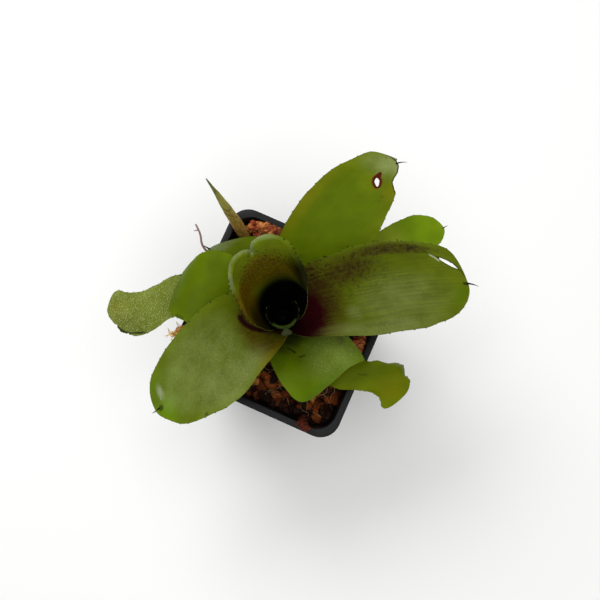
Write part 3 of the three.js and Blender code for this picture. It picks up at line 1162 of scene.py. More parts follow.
    def tooth_heights(self, points: BladePoints) -> np.ndarray:
        """Say how far each margin point stands out as a tooth or a spine.

        Args:
            points: the grid's points.

        Returns:
            The heights, 0 away from the margins.
        """
        row = np.rint(points.even * self.rows).astype(int)
        pitch = max(3, round(self.tooth_pitch * self.rows / (1.3 * self.length())))
        shift = np.where(points.side > 0, 0, pitch // 2)
        jitter = np.sin(row * 12.9898 + self.seed) * 0.35
        outer = np.abs(points.side) > 0.999
        first, last = self.TOOTHED
        toothed = outer & ((row + shift) % pitch == 0) & (points.share > first) & (points.share < last)
        heights = np.where(toothed, self.teeth * (1 + jitter), 0.0)
        for turn, along in self.spines:
            elsewhere = ~outer | (np.sign(points.side) != turn)
            off = np.abs(points.share * self.length() - along) + 100 * elsewhere
            heights[np.argmin(off)] = self.SPINE
        return heights

    def shaped(self, points: BladePoints) -> np.ndarray:
        """Give the blade its shape, with its slow waves and the roll of its lip.

        Args:
            points: the grid's points.

        Returns:
            Rows of X, Y and Z, in millimetres.
        """
        share, side, step = points.share, points.side, 1e-3
        ahead, behind = np.minimum(share + step, 1), np.maximum(share - step, 0)
        along = self.surface_points(ahead, side) - self.surface_points(behind, side)
        inner = np.clip(side, -0.999, 0.999)
        across = self.surface_points(share, inner + step) - self.surface_points(share, inner - step)
        normal = np.cross(along, across)
        normal /= np.maximum(np.linalg.norm(normal, axis=1, keepdims=True), TINY)
        run = 2 * math.pi * (share * self.length())
        phase = self.seed * 1.7
        long, short = self.WAVE_LENGTHS
        waves = np.sin(run / long + phase + 1.4 * side) * side**2
        waves += 0.5 * np.sin(run / short + 2 * phase - 2 * side) * np.abs(side) ** 3
        height = self.wave * waves * smoothstep(share, *self.WAVY_FROM) * smoothstep(1 - share, 0.0, self.CALM_TIP)
        rolled = smoothstep(-points.edge, -self.lip[1], 0.0) * smoothstep(share, *self.FREE_FROM)
        height = height - self.lip[0] * rolled**2
        fall = 0.5 * self.lip[0] * rolled**3
        return self.surface_points(share, side, points.tooth) + normal * height[:, None] - UP * fall[:, None]

    def paint_blade(self, blade: Object, points: BladePoints) -> None:
        """Write what the finish reads at each point.

        Args:
            blade: the leaf's object.
            points: the grid's points.
        """
        share, side = points.share, points.side
        along, across = share * self.length(), side * self.half_width(share, side)
        covers = [(patch.layer, patch.cover(share, side)) for patch in self.patches]
        covers += [(mark.layer, mark.cover(across, along)) for mark in self.strokes + self.cuts]
        if self.tooth_stain:
            places = np.column_stack([across, along])
            for tooth in places[points.tooth > 0]:
                far = np.linalg.norm(places - tooth, axis=1)
                covers.append((Layer.DARK, 0.85 * smoothstep(-far, -1.5 * self.tooth_stain, -0.3 * self.tooth_stain)))
        layers = np.zeros((len(share), len(Layer)))
        for layer, cover in covers:
            layers[:, layer.value] = np.maximum(layers[:, layer.value], cover)
        layers[:, Layer.THORN.value] = points.tooth > 0
        paint(blade, "leaf_run", np.column_stack([across, along, np.ones_like(share)]))
        paint(blade, "leaf_place", np.column_stack([side, share, points.edge]))
        paint_layers(blade, layers)

    @staticmethod
    def open_cuts(blade: Object, points: BladePoints) -> None:
        """Delete what lies inside the cuts.

        Args:
            blade: the leaf's object.
            points: the grid's points.
        """
        if not points.fringe.any():
            return
        only(blade)
        bpy.ops.object.mode_set(mode="EDIT")
        bpy.ops.mesh.select_mode(type="FACE")
        bpy.ops.mesh.select_all(action="DESELECT")
        mesh = bmesh.from_edit_mesh(blade.data)
        mesh.verts.ensure_lookup_table()
        inside = (points.depth < 0) & ~points.fringe
        outside = (points.depth > 0) & ~points.fringe
        for face in list(mesh.faces):
            corners = [v.index for v in face.verts]
            if inside[corners].any() and outside[corners].any():
                ends = [v for v in face.verts if points.fringe[v.index]]
                if len(ends) == 2 and not any(set(e.verts) == set(ends) for e in face.edges):
                    bmesh.utils.face_split(face, ends[0], ends[1])
        for face in mesh.faces:
            face.select_set(bool(inside[[v.index for v in face.verts]].any()))
        bmesh.update_edit_mesh(blade.data)
        bpy.ops.mesh.delete(type="FACE")
        bpy.ops.object.mode_set(mode="OBJECT")

    def thicken(self, blade: Object) -> None:
        """Give the blade its thickness, full at the midrib and thin at the margins, and mark its upper face.

        Args:
            blade: the leaf's object.
        """
        middle = corners_of(blade)
        count = len(middle)
        normals = np.empty(count * 3)
        blade.data.vertices.foreach_get("normal", normals)
        place = read_paint(blade, "leaf_place")
        thin = self.MARGIN / self.MIDDLE
        weights = thin + (1 - thin) * smoothstep(place[:, 2], 0.0, self.THIN_BAND) * (1 - 0.3 * place[:, 1] ** 2)
        group = blade.vertex_groups.new(name="thickness")
        for index, weight in enumerate(weights):
            group.add([index], float(weight), "REPLACE")
        only(blade)
        bpy.ops.object.modifier_add(type="SOLIDIFY")
        solid = blade.modifiers[-1]
        solid.thickness = self.MIDDLE * MM
        solid.offset = 0
        solid.vertex_group = group.name
        solid.use_quality_normals = True
        bpy.ops.object.modifier_apply(modifier=solid.name)
        moved = ((corners_of(blade)[:count] - middle) * normals.reshape(-1, 3)).sum(axis=1)
        run = read_paint(blade, "leaf_run")
        run[:count, 2], run[count:, 2] = (1, 0) if moved.mean() > 0 else (0, 1)
        paint(blade, "leaf_run", run)

    def tip_thorn(self) -> Object:
        """Model the spine at the tip.

        Returns:
            The spine, painted as a thorn.
        """
        thorn, sunk = self.thorn, 0.8
        share = 1 - np.array((thorn.back + 0.5, thorn.back)) / self.length()
        side = thorn.across / self.half_width(share, np.full(2, np.sign(thorn.across)))
        ends = self.surface_points(share, side)
        forward = ends[1] - ends[0]
        forward /= np.linalg.norm(forward)
        _, _, left = self.directions()
        grown = np.linspace(0, 1, 10)[:, None]
        path = ends[1] - forward * sunk + forward * grown * (thorn.length + sunk)
        path = path + grown**2 * (left * thorn.left - UP * thorn.down)
        spine = swept(f"{self.node}_thorn", path, thorn.radius * (1 - grown[:, 0]) ** 0.8 + 0.04, 8)
        paint(spine, "leaf_run", (0, 0, 1))
        paint(spine, "leaf_place", (0, 1, 0))
        paint_layers(spine, np.array([float(layer is Layer.THORN) for layer in Layer]))
        return spine


# The cup leaves' bases are near black: painted shade deep in the cup. The inner cup leaf is darker all over, painted
# shade inside the outer one.
CUP_FINISH = LeafFinish(
    name="waxy_cup_leaf", middle="586207", edge="5d6c1c", tip="5a6a0a", base="0a0803", under="6d7a3a",
    warm="4e4002", yellow="764604", scurf="868f72", tip_from=0.84, base_to=0.5, streak=0.26, streak_size=(9.0, 1.0),
    edge_width=1.4, edge_share=0.4, blotch_size=1.1, dot_size=1.5, scurf_size=0.4, speckle=1.0, haze=0.6,
)
INNER_CUP_FINISH = LeafFinish(
    name="waxy_inner_cup_leaf", middle="2c3c10", edge="38461c", tip="2c3414", base="040302", under="55622a",
    scurf="303020", tip_from=0.8, base_to=0.7, streak=0.1, edge_width=0.8, edge_share=0.3, scurf_size=0.5,
    speckle=1.0, haze=0.75,
)
UPPER_RIGHT_FINISH = LeafFinish(
    name="waxy_leaf_streaked", middle="4b5606", edge="525e0e", tip="535f0a", base="200a06", under="7d8a4c",
    warm="32240a", wine="270509", bright="4c5e04", base_to=0.12, streak=0.2, streak_size=(0.75, 20.0),
    blotch_size=1.6, scurf="888d60", scurf_size=0.6, speckle=0.4, haze=0.5,
)
UPPER_LEFT_FINISH = LeafFinish(
    name="waxy_leaf_scurfy", middle="4f5c08", edge="5c6c10", tip="566c14", base="3a2c08", under="7d8a4c",
    warm="4a3c0c", wine="240a0a", yellow="74640c", base_to=0.15, streak=0.1, scurf="8c9560", scurf_size=0.55,
    speckle=0.45, haze=0.42,
)
BRIGHT_FINISH = LeafFinish(
    name="waxy_leaf_smooth", middle="516303", edge="5b6f04", tip="556904", base="3c4406", under="75863a",
    streak=0.07, tip_from=0.6, roughness=0.42,
)
BACK_FINISH = LeafFinish(
    name="waxy_leaf_back", middle="506203", edge="5f6a08", tip="5d6c12", base="3c4406", under="75863a",
    yellow="726406", scurf="8f9a6c", streak=0.08, tip_from=0.78, edge_width=8.0, edge_share=0.75, speckle=0.3,
    haze=0.65,
)
FRONT_FINISH = LeafFinish(
    name="waxy_leaf_front", middle="4f6204", edge="5a7010", tip="527002", base="30360a", under="75863a",
    streak=0.08, scurf="808b50", scurf_size=0.6, speckle=0.8, haze=0.35,
)
SPECKLED_FINISH = LeafFinish(
    name="old_leaf_speckled", middle="5e6a18", edge="667422", tip="687020", base="566612", under="8a9456",
    streak=0.08, scurf="b0b77c", scurf_size=0.55, speckle=0.9, haze=0.12, roughness=0.55, mottle="3a3a14",
)
OLIVE_FINISH = LeafFinish(
    name="old_leaf_olive", middle="566404", edge="606c04", tip="616c04", base="4c5806", under="7d8638",
    streak=0.1, tip_from=0.6, scurf="8a907c", speckle=0.4, haze=0.9,
)
# A darker copy of the olive finish: painted shade for the low leaf at the back left.
SHADED_FINISH = LeafFinish(
    name="old_leaf_painted_shade", middle="455603", edge="526203", tip="586603", base="343e04", under="7d8638",
    streak=0.1, tip_from=0.6, scurf="8a907c", speckle=0.4, haze=0.5,
)
# bright is painted light for the base of the low leaf at the back right.
SMALL_FINISH = LeafFinish(
    name="waxy_leaf_small", middle="607a08", edge="6c8412", tip="667f0a", base="56700a", under="7d8638",
    bright="8a9a24", streak=0.06, tip_from=0.6,
)
CUP_WIDTHS = (7, 9.3, 11, 12.3, 13, 13.8, 14, 13.9, 13.4, 12.5, 11)
CUP_SLIT = ((1, 34.9), (3, 34.3), (8, 34), (18, 33.4), (18, 48), (2.4, 48), (2.4, 42.2), (1.6, 40.2), (1, 37))
# From the youngest leaf to the oldest: the cup's two, two broad ones, three beneath them and four low ones.
LEAVES: tuple[Leaf, ...] = (
    Leaf(
        "leaf_cup_inner", "cup_leaf", INNER_CUP_FINISH, azimuth=305, height=106, flare=5, rise=26, reach=11.5,
        tip_height=149, tip_slope=55, run=8, left=CUP_WIDTHS, right=CUP_WIDTHS, tip_start=0.985, furl=(40, 60),
        lean=2.5, droop=(0.8, 5.0), columns=64, wave=0.1, ragged=0.1, teeth=0.15, lip=(0.6, 1.4), crowd=1.2, thorn=None,
        seed=3,
        patches=(
            # Painted shade: the inside of the tube, the arms of the slit and the slit's edges are darkened to near
            # black.
            Patch(Layer.SCURF, 1.0, 0.0, 0.22, 2.0, 1.0, 0.85), Patch(Layer.PAINTED_SHADE, 0.3, 0.0, 0.42, 4.0, 1.0, 0.86),
            Patch(Layer.PAINTED_SHADE, 0.72, 1.0, 0.3, 0.66, 1.0, 0.8), Patch(Layer.PAINTED_SHADE, 0.72, -1.0, 0.3, 0.66, 1.0, 0.8),
        ),
        cuts=tuple(Cut(tuple((turn * x, y) for x, y in CUP_SLIT), 0.4, Layer.PAINTED_SHADE) for turn in (1, -1)),
    ),
    Leaf(
        "leaf_cup_outer", "cup_leaf", CUP_FINISH, azimuth=138, height=103.5, flare=12, rise=25, reach=30.2,
        tip_height=160, tip_slope=50, run=16, left=(9, 17, 22.5, 24.6, 20.8, 17.5), right=(9, 17, 20.6, 20, 17.8, 14.5),
        tip_start=0.92, furl=(40, 60), lean=12.5, columns=96, rows=130, crowd=1.15, wave=0.3, teeth=0.45,
        tooth_pitch=3.2, tooth_stain=0.6, lip=(1.5, 2.4), thorn=None, seed=5,
        patches=(
            Patch(Layer.SCURF, 1.02, 0.1, 0.07, 2.0, 1.0, 0.4), Patch(Layer.SCURF, 0.93, 0.97, 0.14, 0.12, 0.9, 0.2),
            Patch(Layer.WARM, 0.68, 0.1, 0.2, 1.5, 0.9, 0.35), Patch(Layer.WARM, 0.5, 0.8, 0.28, 0.6, 1.0, 0.5),
            Patch(Layer.WARM, 0.73, 1.15, 0.16, 0.35, 0.8, 0.5), Patch(Layer.MOTTLE, 0.74, 0.0, 0.2, 1.1, 0.9, 0.6),
            Patch(Layer.YELLOW, 0.66, 0.72, 0.14, 0.3, 1.0, 0.6), Patch(Layer.YELLOW, 0.8, 0.1, 0.05, 0.7, 0.35),
            # Painted shade: these patches darken the cup deep down and its shaded walls.
            Patch(Layer.PAINTED_SHADE, 0.1, -0.9, 0.6, 2.3, 1.0, 0.7), Patch(Layer.PAINTED_SHADE, 0.38, 0.35, 0.2, 0.6, 0.8, 0.2),
            Patch(Layer.PAINTED_SHADE, 0.6, 1.15, 0.2, 0.3, 0.5, 0.2), Patch(Layer.PAINTED_SHADE, 0.64, -1.0, 0.32, 0.6, 0.9, 0.3),
            Patch(Layer.PAINTED_SHADE, 0.42, 0.9, 0.26, 0.6, 0.7, 0.3),
        ),
        cuts=(
            Cut(
                (
                    (17, 59), (15, 59.9), (13.3, 60.7), (9.5, 60.2), (5.5, 58.9), (3.3, 57.4), (2.4, 55), (1.9, 58.2),
                    (0.8, 60), (-2.2, 61.4), (-6.2, 62.1), (-6.2, 66), (22, 66), (22, 58),
                ),
                1.0, Layer.SCURF,
            ),
        ),
    ),
    Leaf(
        "leaf_upper_left", "upper_leaf", UPPER_LEFT_FINISH, azimuth=232, height=101, flare=22, rise=30, reach=70.5,
        tip_height=130, tip_slope=-15, run=30, left=(9, 11.5, 14, 16.3, 18.5, 21, 21.7, 20.3, 17.7, 14.3, 9.5),
        right=(9, 15, 20.5, 22, 22.2, 21.4, 20, 18.3, 16.2, 14, 15), tip_start=0.83, channel=3, sweep=12,
        thorn=Thorn(length=4.0, down=1.0, left=-1.0, across=1.0, back=1.6), seed=2,
        patches=(
            Patch(Layer.SCURF, 0.66, 0.0, 0.38, 1.2, 0.7, 0.5), Patch(Layer.SCURF, 0.55, 0.6, 0.36, 0.6, 0.9, 0.4),
            Patch(Layer.WINE, 0.06, -0.5, 0.22, 1.3, 1.0, 0.45), Patch(Layer.WINE, 0.25, -0.5, 0.1, 0.4, 1.0, 0.2),
            Patch(Layer.WARM, 0.24, 0.1, 0.18, 1.6, 0.8, 0.2), Patch(Layer.YELLOW, 0.22, 0.95, 0.26, 0.4, 0.6, 0.2),
            Patch(Layer.MOTTLE, 0.5, 0.0, 0.4, 1.2, 0.4, 0.3), Patch(Layer.BRIGHT, 0.95, 0.45, 0.09, 0.7, 0.6, 0.3),
            # A painted highlight near the tip.
            Patch(Layer.PAINTED_HIGHLIGHT, 0.925, -0.33, 0.03, 0.4, 0.3),
        ),
        strokes=(
            Stroke(
                Layer.WINE, ((-9.0, 25.6), (-5.2, 23.7), (-2.5, 20.8), (0.3, 16.4), (2.3, 9.8), (3.1, 3.0)), 1.4, 0.9,
            ),
            Stroke(Layer.DARK, ((1.6, 75.8),), 1.5, 0.75), Stroke(Layer.DARK, ((18.4, 58.8),), 0.9, 0.6),
            # A painted highlight runs along the tip.
            Stroke(Layer.PAINTED_HIGHLIGHT, ((-5.6, 71.9), (-3.2, 73.0), (-1.2, 74.1)), 0.3, 0.3),
            Stroke(Layer.BURN, ((18.1, 58.8),), 1.2, 0.3), Stroke(Layer.BURN, ((16.2, 60.4),), 0.9, 0.3),
        ),
    ),
    Leaf(
        "leaf_upper_right", "upper_leaf", UPPER_RIGHT_FINISH, azimuth=42, height=99, flare=25, rise=30, reach=83,
        tip_height=135, tip_slope=-5, run=35, left=(9, 15, 19, 20.9, 20.5, 21.9, 22.1, 21.8, 20.4, 18.4, 18.5),
        right=(9, 12.5, 15.3, 16.9, 18.3, 19.7, 19.8, 19.9, 18, 14.7, 11.3), tip_start=0.86, channel=3, sweep=-14,
        columns=84, blunt=(3.6, 2.2), thorn=Thorn(length=4.8, down=1.6, left=-1.2),
        spines=((1, 34.7), (1, 45.4), (1, 56.9), (1, 66.7)), seed=4,
        patches=(
            Patch(Layer.WINE, 0.05, -0.35, 0.28, 1.6, 1.0, 0.5), Patch(Layer.WARM, 0.2, 0.2, 0.26, 2.2, 0.9, 0.3),
            Patch(Layer.WARM, 0.43, 0.6, 0.26, 0.5, 0.75, 0.2), Patch(Layer.WARM, 0.66, 0.85, 0.3, 0.16, 0.65, 0.4),
            Patch(Layer.MOTTLE, 0.31, 0.8, 0.1, 0.5, 1.0, 0.4), Patch(Layer.MOTTLE, 0.48, 0.4, 0.3, 0.7, 0.6, 0.3),
            Patch(Layer.MOTTLE, 0.64, 0.84, 0.34, 0.13, 0.85, 0.5), Patch(Layer.SCURF, 0.43, -0.42, 0.08, 0.32, 0.8),
            Patch(Layer.SCURF, 0.67, -0.3, 0.32, 0.85, 0.5, 0.3), Patch(Layer.SCURF, 0.55, -0.85, 0.4, 0.35, 0.7, 0.2),
            Patch(Layer.BRIGHT, 0.95, -0.5, 0.07, 0.5, 1.0, 0.4), Patch(Layer.STREAK, 0.55, -0.2, 0.5, 1.0, 0.6, 0.3),
            Patch(Layer.YELLOW, 0.25, -0.85, 0.2, 0.3, 0.25),
        ),
        strokes=(
            Stroke(Layer.DARK, ((15.4, 72.0), (15.1, 76.6), (14.2, 78.5), (12.4, 81.1)), 0.35, 0.5),
            Stroke(Layer.DARK, ((7.1, 88.2), (5.6, 89.5), (3.4, 90.3)), 0.4, 0.6),
            # A painted highlight beside the slit.
            Stroke(Layer.PAINTED_HIGHLIGHT, ((13.8, 78.2), (12.6, 79.8), (11.0, 81.2)), 0.35, 0.5),
            Stroke(Layer.DARK, ((0, 40), (0, 88)), 0.5, 0.25), Stroke(Layer.DARK, ((0, 89), (-0.3, 91)), 0.8, 0.8),
        ),
        cuts=(
            Cut(
                (
                    (12.6, 81.1), (12.1, 82.6), (10.8, 84.8), (9.3, 86.9), (7.3, 88.3), (6.9, 88.2), (7.9, 86.0),
                    (9.4, 84.0), (11.0, 82.2),
                ),
                0.4, Layer.DARK,
            ),
        ),
    ),
    Leaf(
        "leaf_middle_left", "middle_leaf", BRIGHT_FINISH, azimuth=181, height=97, flare=32, rise=26, reach=53,
        tip_height=108, tip_slope=-65, run=21, left=(9, 13, 18, 19.4, 20, 20.4, 20.5, 20.4, 20, 19, 16),
        right=(9, 13, 17, 18, 18.4, 17.6, 16.8, 16.2, 13.4, 8.7, 5), tip_start=0.85, channel=1, ragged=0.15,
        # Painted shade where the tip curves down.
        patches=(Patch(Layer.PAINTED_SHADE, 0.9, 0.6, 0.4, 1.0, 0.2),),
        strokes=(Stroke(Layer.DARK, ((19.5, 43.7), (19.2, 47.2)), 0.9, 0.5),), seed=6,
    ),
    Leaf(
        "leaf_middle_front", "middle_leaf", FRONT_FINISH, azimuth=327, height=95, flare=38, rise=24, reach=40,
        tip_height=106, tip_slope=-62, run=14, left=(9, 13, 16.5, 18.5, 20, 20.8, 21.2, 21.3, 21.3, 21, 20),
        right=(9, 12.5, 15, 17, 18, 18.2, 18, 17.4, 16.6, 14.8, 13), tip_start=0.86, channel=1, ragged=0.15,
        blunt=(4.4, 2.4), tooth_pitch=4.0, seed=7,
        patches=(Patch(Layer.SCURF, 0.62, 0.5, 0.5, 1.0, 0.85, 0.3), Patch(Layer.WARM, 0.6, 0.8, 0.07, 0.15, 0.6)),
        strokes=(
            Stroke(Layer.DARK, ((-6.2, 11.2), (-5.2, 12.7), (-4.4, 15.1)), 0.45),
            Stroke(Layer.DARK, ((-4.4, 15.1),), 0.7), Stroke(Layer.DARK, ((-3.7, 18.9), (-1.4, 19.5)), 0.4),
        ),
        cuts=(
            Cut(
                (
                    (-12.5, 40.9), (-8.2, 40.9), (-3.5, 40.1), (1.2, 39.3), (6.3, 38.0), (10.0, 36.9), (13.6, 36.3),
                    (17.5, 36.5), (20.2, 36.9), (22.5, 37.4), (24, 46), (-12.5, 46),
                ),
                0.4, Layer.BRIGHT,
            ),
        ),
    ),
    Leaf(
        "leaf_middle_back", "middle_leaf", BACK_FINISH, azimuth=90, height=93, flare=42, rise=28, reach=89.6,
        tip_height=121, tip_slope=-8, run=35, left=(9, 13.5, 17, 19, 20.3, 21.2, 21.5, 21, 19.8, 16.2, 12.8),
        right=(9, 14, 18, 20, 21.2, 20.2, 18, 15.3, 12.5, 8, 4), tip_start=0.93, furl=(15, 34), channel=2, sweep=-20,
        columns=84, ragged=0.15, blunt=(5.8, 2.2), thorn=Thorn(length=2.9, down=0.3, left=-3.2, across=-0.6, back=2.0),
        seed=8,
        patches=(
            Patch(Layer.SCURF, 0.97, -0.1, 0.13, 1.4, 0.9, 0.3), Patch(Layer.YELLOW, 0.6, 0.95, 0.3, 0.3, 0.3),
            Patch(Layer.YELLOW, 0.82, -0.8, 0.08, 0.45, 0.25, 0.2), Patch(Layer.YELLOW, 0.5, 0.95, 0.2, 0.3, 0.2),
        ),
        strokes=(
            Stroke(Layer.BURN, ((1.4, 80.0), (1.6, 78.8), (1.8, 77.4), (1.5, 76.2)), 0.75),
            Stroke(Layer.BURN, ((0.9, 79.4), (0.3, 78.2)), 0.75), Stroke(Layer.BURN, ((-7.8, 69.8),), 1.0, 0.4),
            Stroke(Layer.BURN, ((-7.9, 67.3),), 1.1, 0.3), Stroke(Layer.DARK, ((5.2, 88.2),), 0.5, 0.6),
            Stroke(Layer.DARK, ((6.4, 89.9), (4.9, 89.9), (3.0, 89.5), (1.0, 88.9)), 0.4, 0.8),
        ),
        cuts=(
            Cut(
                (
                    (0.7, 77.5), (-0.9, 76.8), (-2.0, 75.4), (-2.7, 73.9), (-2.3, 73.4), (-0.9, 74.2), (0.4, 75.3),
                    (0.9, 76.4), (1.0, 77.2),
                ),
                1.25,
            ),
            Cut(
                (
                    (1.4, 91.5), (0.6, 89.2), (-0.6, 88.3), (-1.6, 87.7), (-2.6, 86.7), (-3.3, 85.6), (-4.3, 84.2),
                    (-4.9, 82.5), (-5.3, 80.7), (-6.2, 78.6), (-7.9, 76.9), (-9.6, 75.4), (-11.4, 74.0), (-20, 70),
                    (-20, 94), (1.4, 94),
                ),
                0.45, Layer.DARK,
            ),
        ),
    ),
    Leaf(
        "leaf_old_left", "old_leaf", SPECKLED_FINISH, azimuth=194, height=91.2, flare=58, rise=21, reach=86,
        tip_height=96, tip_slope=-25, run=30, left=(9, 10.5, 12, 11, 8, 4, 6.6, 13.3, 14.4, 10.8, 5.5),
        right=(9, 11, 13, 13.5, 14.5, 16.6, 15.3, 11, 7.4, 7.6, 15), tip_start=0.86, furl=(15, 32), channel=1, sweep=9,
        ragged=0.25, wave=0.8, thorn=None, seed=9,
        nicks=(Nick(1, 73.5, 0.8, 1.3), Nick(1, 70.5, -0.5, 1.2), Nick(1, 66.5, 0.6, 1.6), Nick(1, 62.5, -0.4, 1.4)),
        patches=(
            Patch(Layer.SCURF, 0.75, 0.0, 0.6, 2.0, 0.9, 0.5), Patch(Layer.MOTTLE, 0.92, 0.3, 0.08, 0.6, 0.4),
            # The first patch is painted shade on the left side near the tip.
            Patch(Layer.PAINTED_SHADE, 0.84, 0.75, 0.2, 0.8, 0.26, 0.2), Patch(Layer.YELLOW, 0.94, 0.0, 0.1, 0.8, 0.3),
        ),
        strokes=(Stroke(Layer.DARK, ((8.6, 74.4), (11.6, 70.4), (13.4, 66.2), (13.5, 61.8), (13.2, 58.0)), 0.55, 0.9),),
    ),
    Leaf(
        "leaf_old_right", "old_leaf", OLIVE_FINISH, azimuth=338, height=89.6, flare=57, rise=22, reach=66.5,
        tip_height=97, tip_slope=-15, run=20, left=(9, 10.5, 11.5, 11, 10, 9, 9.6, 13.4, 15.4, 11, 6.8),
        right=(9, 11, 12, 11.5, 11, 10.5, 9.4, 6, 4.2, 6.5, 12.4), tip_start=0.93, furl=(15, 32), channel=1, sweep=16,
        ragged=0.2, wave=1.0, thorn=None, seed=10,
        nicks=(
            Nick(1, 38.5, -1.0, 2.4), Nick(1, 43.0, 0.9, 2.6), Nick(1, 49.2, -0.9, 1.8), Nick(1, 52.8, 0.9, 1.8),
            Nick(1, 56.2, -0.5, 1.6), Nick(-1, 55.5, -0.6, 1.6), Nick(-1, 52.0, 0.5, 1.6),
        ),
        patches=(Patch(Layer.SCURF, 0.8, 1.0, 0.14, 0.14, 0.8), Patch(Layer.YELLOW, 0.88, 0.0, 0.16, 1.2, 0.4)),
        strokes=(
            Stroke(Layer.DARK, ((1.5, 37.0), (3.0, 40.0)), 0.6, 0.4),
            Stroke(Layer.DARK, ((11.5, 52.6), (10.6, 55.2)), 0.5, 0.7),
        ),
    ),
    Leaf(
        "leaf_old_back_left", "old_leaf", SHADED_FINISH, azimuth=150, height=88.2, flare=60, rise=20, reach=50,
        tip_height=100, tip_slope=0, run=15, left=(9, 16, 17, 16, 14, 10), right=(9, 17, 19, 20, 19, 12),
        tip_start=0.76, furl=(16, 32), channel=1, sweep=9, seed=11,
        patches=(Patch(Layer.SCURF, 1.0, -0.4, 0.16, 1.4, 1.0, 0.4),),
    ),
    Leaf(
        "leaf_old_back_right", "old_leaf", SMALL_FINISH, azimuth=54, height=87, flare=62, rise=24, reach=90,
        tip_height=103, tip_slope=-5, run=30, left=(9, 13, 13, 14, 13.8, 11.5), right=(9, 12, 11, 11, 8.5, 6),
        tip_start=0.84, furl=(16, 32), channel=1, thorn=Thorn(length=2.6, radius=0.3, down=0.6), seed=12,
        # Painted light: the bright patch lifts the part of the base that lies in the shade of the leaves above.
        patches=(Patch(Layer.BRIGHT, 0.62, 0.5, 0.2, 1.4, 0.95, 0.4),),
    ),
)


@dataclass
class Pot:
    """Square nursery pot: a tapered thin wall under a flat folded rim, with drain holes in its floor."""

    width: float = 90.0
    height: float = 95.0
    wall: float = 1.2
    rim: float = 3.4
    rim_drop: float = 8.0
    shoulder: float = 1.6
    foot: float = 62.0
    foot_corner: float = 6.5
    chamfer: float = 1.5
    rounding: float = 0.45
    pitch: float = 19.0
    drain: float = 4.0

    def wall_width(self, z: float) -> float:
        """Read the outer width of the tapered wall at a height."""
        mouth = self.width - 2 * self.rim + 2 * self.wall
        return self.foot + (mouth - self.foot) * z / self.height

    def inner_half(self, z: float) -> float:
        """Read half the inner width at a height."""
        return self.wall_width(z) / 2 - self.wall

    def build(self) -> None:
        """Model the pot by extruding a rounded square up its outside and down its inside."""
        deselect()
        z, width = 0.0, self.foot - 2 * self.chamfer
        bpy.ops.mesh.primitive_plane_add(size=width * MM)
        pot = bpy.context.object
        pot.name = pot.data.name = "nursery_pot"
        under = self.height - self.rim_drop
        levels = [
            (self.chamfer, self.wall_width(self.chamfer)),
            (under - self.shoulder, self.wall_width(under - self.shoulder)),
            (under, self.width),
            (self.height, self.width),
            (self.height, 2 * self.inner_half(self.height)),
            (self.wall, 2 * self.inner_half(self.wall)),
        ]
        bpy.ops.object.mode_set(mode="EDIT")
        bpy.ops.mesh.select_all(action="SELECT")
        bpy.ops.mesh.bevel(offset=self.foot_corner * MM, segments=8, affect="VERTICES")
        bpy.ops.mesh.select_all(action="SELECT")
        for level, wide in levels:
            bpy.ops.mesh.extrude_region_move(TRANSFORM_OT_translate={"value": (0, 0, (level - z) * MM)})
            bpy.ops.transform.resize(value=(wide / width, wide / width, 1), center_override=(0, 0, level * MM))
            z, width = level, wide
        bpy.ops.object.mode_set(mode="OBJECT")
        self.drill(pot)
        only(pot)
        bpy.ops.object.modifier_add(type="BEVEL")
        bevel = pot.modifiers[-1]
        bevel.width = self.rounding * MM
        bevel.segments = 3
        bevel.limit_method = "ANGLE"
        bevel.angle_limit = math.radians(28)
        bpy.ops.object.modifier_apply(modifier=bevel.name)
        bpy.ops.object.shade_smooth_by_angle(angle=math.radians(35))
        pot.data.materials.append(PotPlastic().material())
        hand_over(pot, "pot_plastic", "pot")

    def drill(self, pot: Object) -> None:
        """Cut the drain holes through the floor.

        Args:
            pot: the pot's object.
        """
        drills = []
        row = (-self.pitch, 0, self.pitch)
        for x, y in product(row, row):
            if x or y:
                deselect()
                bpy.ops.mesh.primitive_cylinder_add(
                    vertices=28, radius=self.drain * MM, depth=4 * self.wall * MM,
                    location=(x * MM, y * MM, self.wall / 2 * MM),
                )
                drills.append(bpy.context.object)
        drill = joined(drills, "drill")
        only(pot)
        bpy.ops.object.modifier_add(type="BOOLEAN")
        cut = pot.modifiers[-1]
        cut.object = drill
        cut.operation = "DIFFERENCE"
        bpy.ops.object.modifier_apply(modifier=cut.name)
        bpy.data.objects.remove(drill)


@dataclass(frozen=True)
class Scrap:
    """A scrap of husk that lies over the rim, with loose fibres as spikes."""

    name: str
    path: tuple[tuple[float, float, float], ...]
    size: float
    body: str
    pale: str
    fibres: int
    reach: float
    rings: int = 14

    def build(self, random: np.random.Generator) -> None:
        """Model the scrap.

        Args:
            random: the source of its bumps and fibres.
        """
        line = bent_path(self.path, self.rings)
        radii = self.size * np.interp(np.linspace(0, 1, self.rings), (0, 0.3, 0.7, 1), (0.5, 0.85, 1.0, 0.3))
        core = swept(self.name, line, radii, 12)
        places = corners_of(core) + random.normal(0, 0.26 * MM, (len(core.data.vertices), 3))
        set_corners(core, places)
        paint(core, "grain", places / MM)
        paint(core, "tone", (0.55, 0, 0))
        pieces = [core]
        for number in range(self.fibres):
            start = line[random.integers(4, self.rings)] + random.normal(0, self.size / 3, 3)
            away = random.normal(size=3) * (1, 1, 0.4)
            away /= np.linalg.norm(away)
            away[2] = abs(away[2])
            reach = away * (self.reach * random.uniform(0.5, 1.0))
            bends = [start, start + reach * 0.3, start + reach * 0.6 + random.normal(0, 0.5, 3), start + reach]
            strand = swept(f"{self.name}_{number}", bent_path(bends, 8), np.linspace(0.4, 0.09, 8), 5)
            paint(strand, "grain", corners_of(strand) / MM)
            paint(strand, "tone", (random.uniform(0.9, 1.5), 0, 0))
            pieces.append(strand)
        whole = joined(pieces, self.name)
        whole.data.materials.append(HuskFinish(f"{self.name}_fibre", body=self.body, pale=self.pale).material())
        hand_over(whole, "husk")


